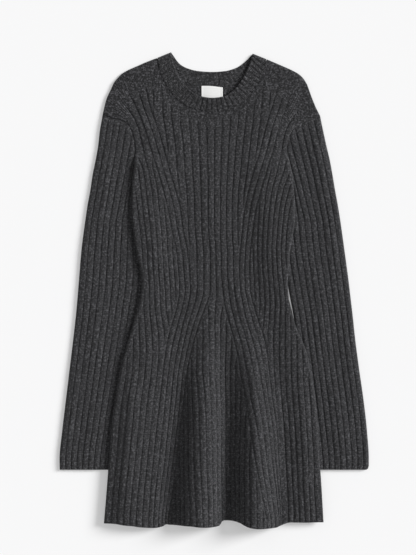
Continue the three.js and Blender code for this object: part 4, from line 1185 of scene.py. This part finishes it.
def neck_inside_tip(end, across):
    """The inside of the band where it is folded, in from the fold along the front half."""
    place, free, seam = (
        np.ravel(neck_front(np.full(1, float(end)), share)) for share in (across, 0, 1))
    run_x, run_y = seam - free
    inset = SLEEVE_INSET / math.hypot(run_x, run_y)
    x = place[0] + run_y * math.copysign(inset, run_x)
    return [x, place[1] - abs(run_x) * inset, FOLD_LEVEL]


def make_label():
    across = np.linspace(0, 1, LABEL_COLUMNS)
    keys = [f"s{i}" for i in range(len(across))]
    x = lerp(LABEL["left"], LABEL["right"], across)
    top_line = LABEL["top"] - LABEL["slope"] * smooth_step((across - 0.3) / 0.9)
    from_side = np.minimum(across, 1 - across)
    folded = LABEL["folded"] * smooth_step((LABEL["fold"] - from_side) / LABEL["fold_edge"])
    outer, inner = [], []
    for share in np.linspace(0, 1, LABEL_ROWS):
        y = lerp(top_line, LABEL["bottom"], share) - LABEL["sag"] * np.sin(across * math.pi) * share
        sewn = LABEL["sewn"] * (np.sin(across * 2 * LABEL["stitches"] * math.pi) > 0)
        sewn = sewn * (share < LABEL["sewn_to"])
        bow = LABEL["bow"] * 4 * across * (1 - across) * (0.4 + 0.6 * share)
        z = WALL + LABEL["gap"] + bow
        outer.append({"keys": keys, "at": points(x, y, z + LABEL["thick"] + folded - sewn)})
        inner.append({"keys": keys, "at": points(x, y, z)})
    return shell("label_patch", woven_label, outer, inner)


front = make_front()
back = make_back()
left_sleeve = make_sleeve("left_sleeve_tube", sleeve_left, SLEEVE_HEAD_LEFT, -1, SLEEVE_LEFT_RIDGES)
right_sleeve = make_sleeve(
    "right_sleeve_tube", sleeve_right, SLEEVE_HEAD_RIGHT, 1, SLEEVE_RIGHT_RIDGES)
neckband = make_neckband()
label = make_label()

for piece, node, slot_name in (
    (front, "front", "rib_knit"), (back, "back", "rib_knit"),
    (left_sleeve, "sleeve_left", "rib_knit"), (right_sleeve, "sleeve_right", "rib_knit"),
    (neckband, "neckband", "fine_rib_knit"), (label, "neck_label", "woven_label"),
):
    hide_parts(node)

# Floor, camera and light

PHOTO_CENTRE = (-0.01007, 0.02224)
CAMERA_HEIGHT = 3.0
CAMERA_LENS = 71.9
FLOOR_REACH = 20.0
KEY_STRENGTH = 4.22
KEY_ELEVATION = 26
KEY_AZIMUTH = 22
KEY_SPREAD = 22
SURROUND = 0.42


def make_floor():
    """A pale floor with a slight glow, which keeps its shadows light."""
    look = Look("floor", {
        "Base Color": (0.645, 0.645, 0.649, 1), "Emission Color": (1, 1, 1, 1),
        "Emission Strength": 0.288, "Roughness": 0.9, "Specular IOR Level": 0.1,
    })
    mesh = bpy.data.meshes.new("floor")
    low, high = -FLOOR_REACH, FLOOR_REACH
    corners = [(low, low, 0), (high, low, 0), (high, high, 0), (low, high, 0)]
    mesh.from_pydata(corners, [], [(0, 1, 2, 3)])
    mesh.materials.append(look.material)
    add_object("floor", mesh)


def make_camera():
    camera = bpy.data.cameras.new("camera")
    camera.sensor_fit = "VERTICAL"
    camera.sensor_height = 24
    camera.lens = CAMERA_LENS
    camera.clip_end = 20
    obj = add_object("camera", camera)
    obj.location = (*PHOTO_CENTRE, CAMERA_HEIGHT)
    bpy.context.scene.camera = obj


def make_key():
    """A broad soft light, low from the right and a little from the top."""
    light = bpy.data.lights.new("key", "SUN")
    light.energy = KEY_STRENGTH
    light.angle = math.radians(KEY_SPREAD)
    tilt = math.radians(90 - KEY_ELEVATION)
    add_object("key", light).rotation_euler = (0, tilt, math.radians(KEY_AZIMUTH))


def make_surround():
    world = bpy.data.worlds.new("world")
    world.use_nodes = True
    background = world.node_tree.nodes["Background"]
    background.inputs["Color"].default_value = (1, 1, 1, 1)
    background.inputs["Strength"].default_value = SURROUND
    bpy.context.scene.world = world


make_floor()
make_camera()
make_key()
make_surround()
bpy.context.scene.view_settings.view_transform = "Standard"
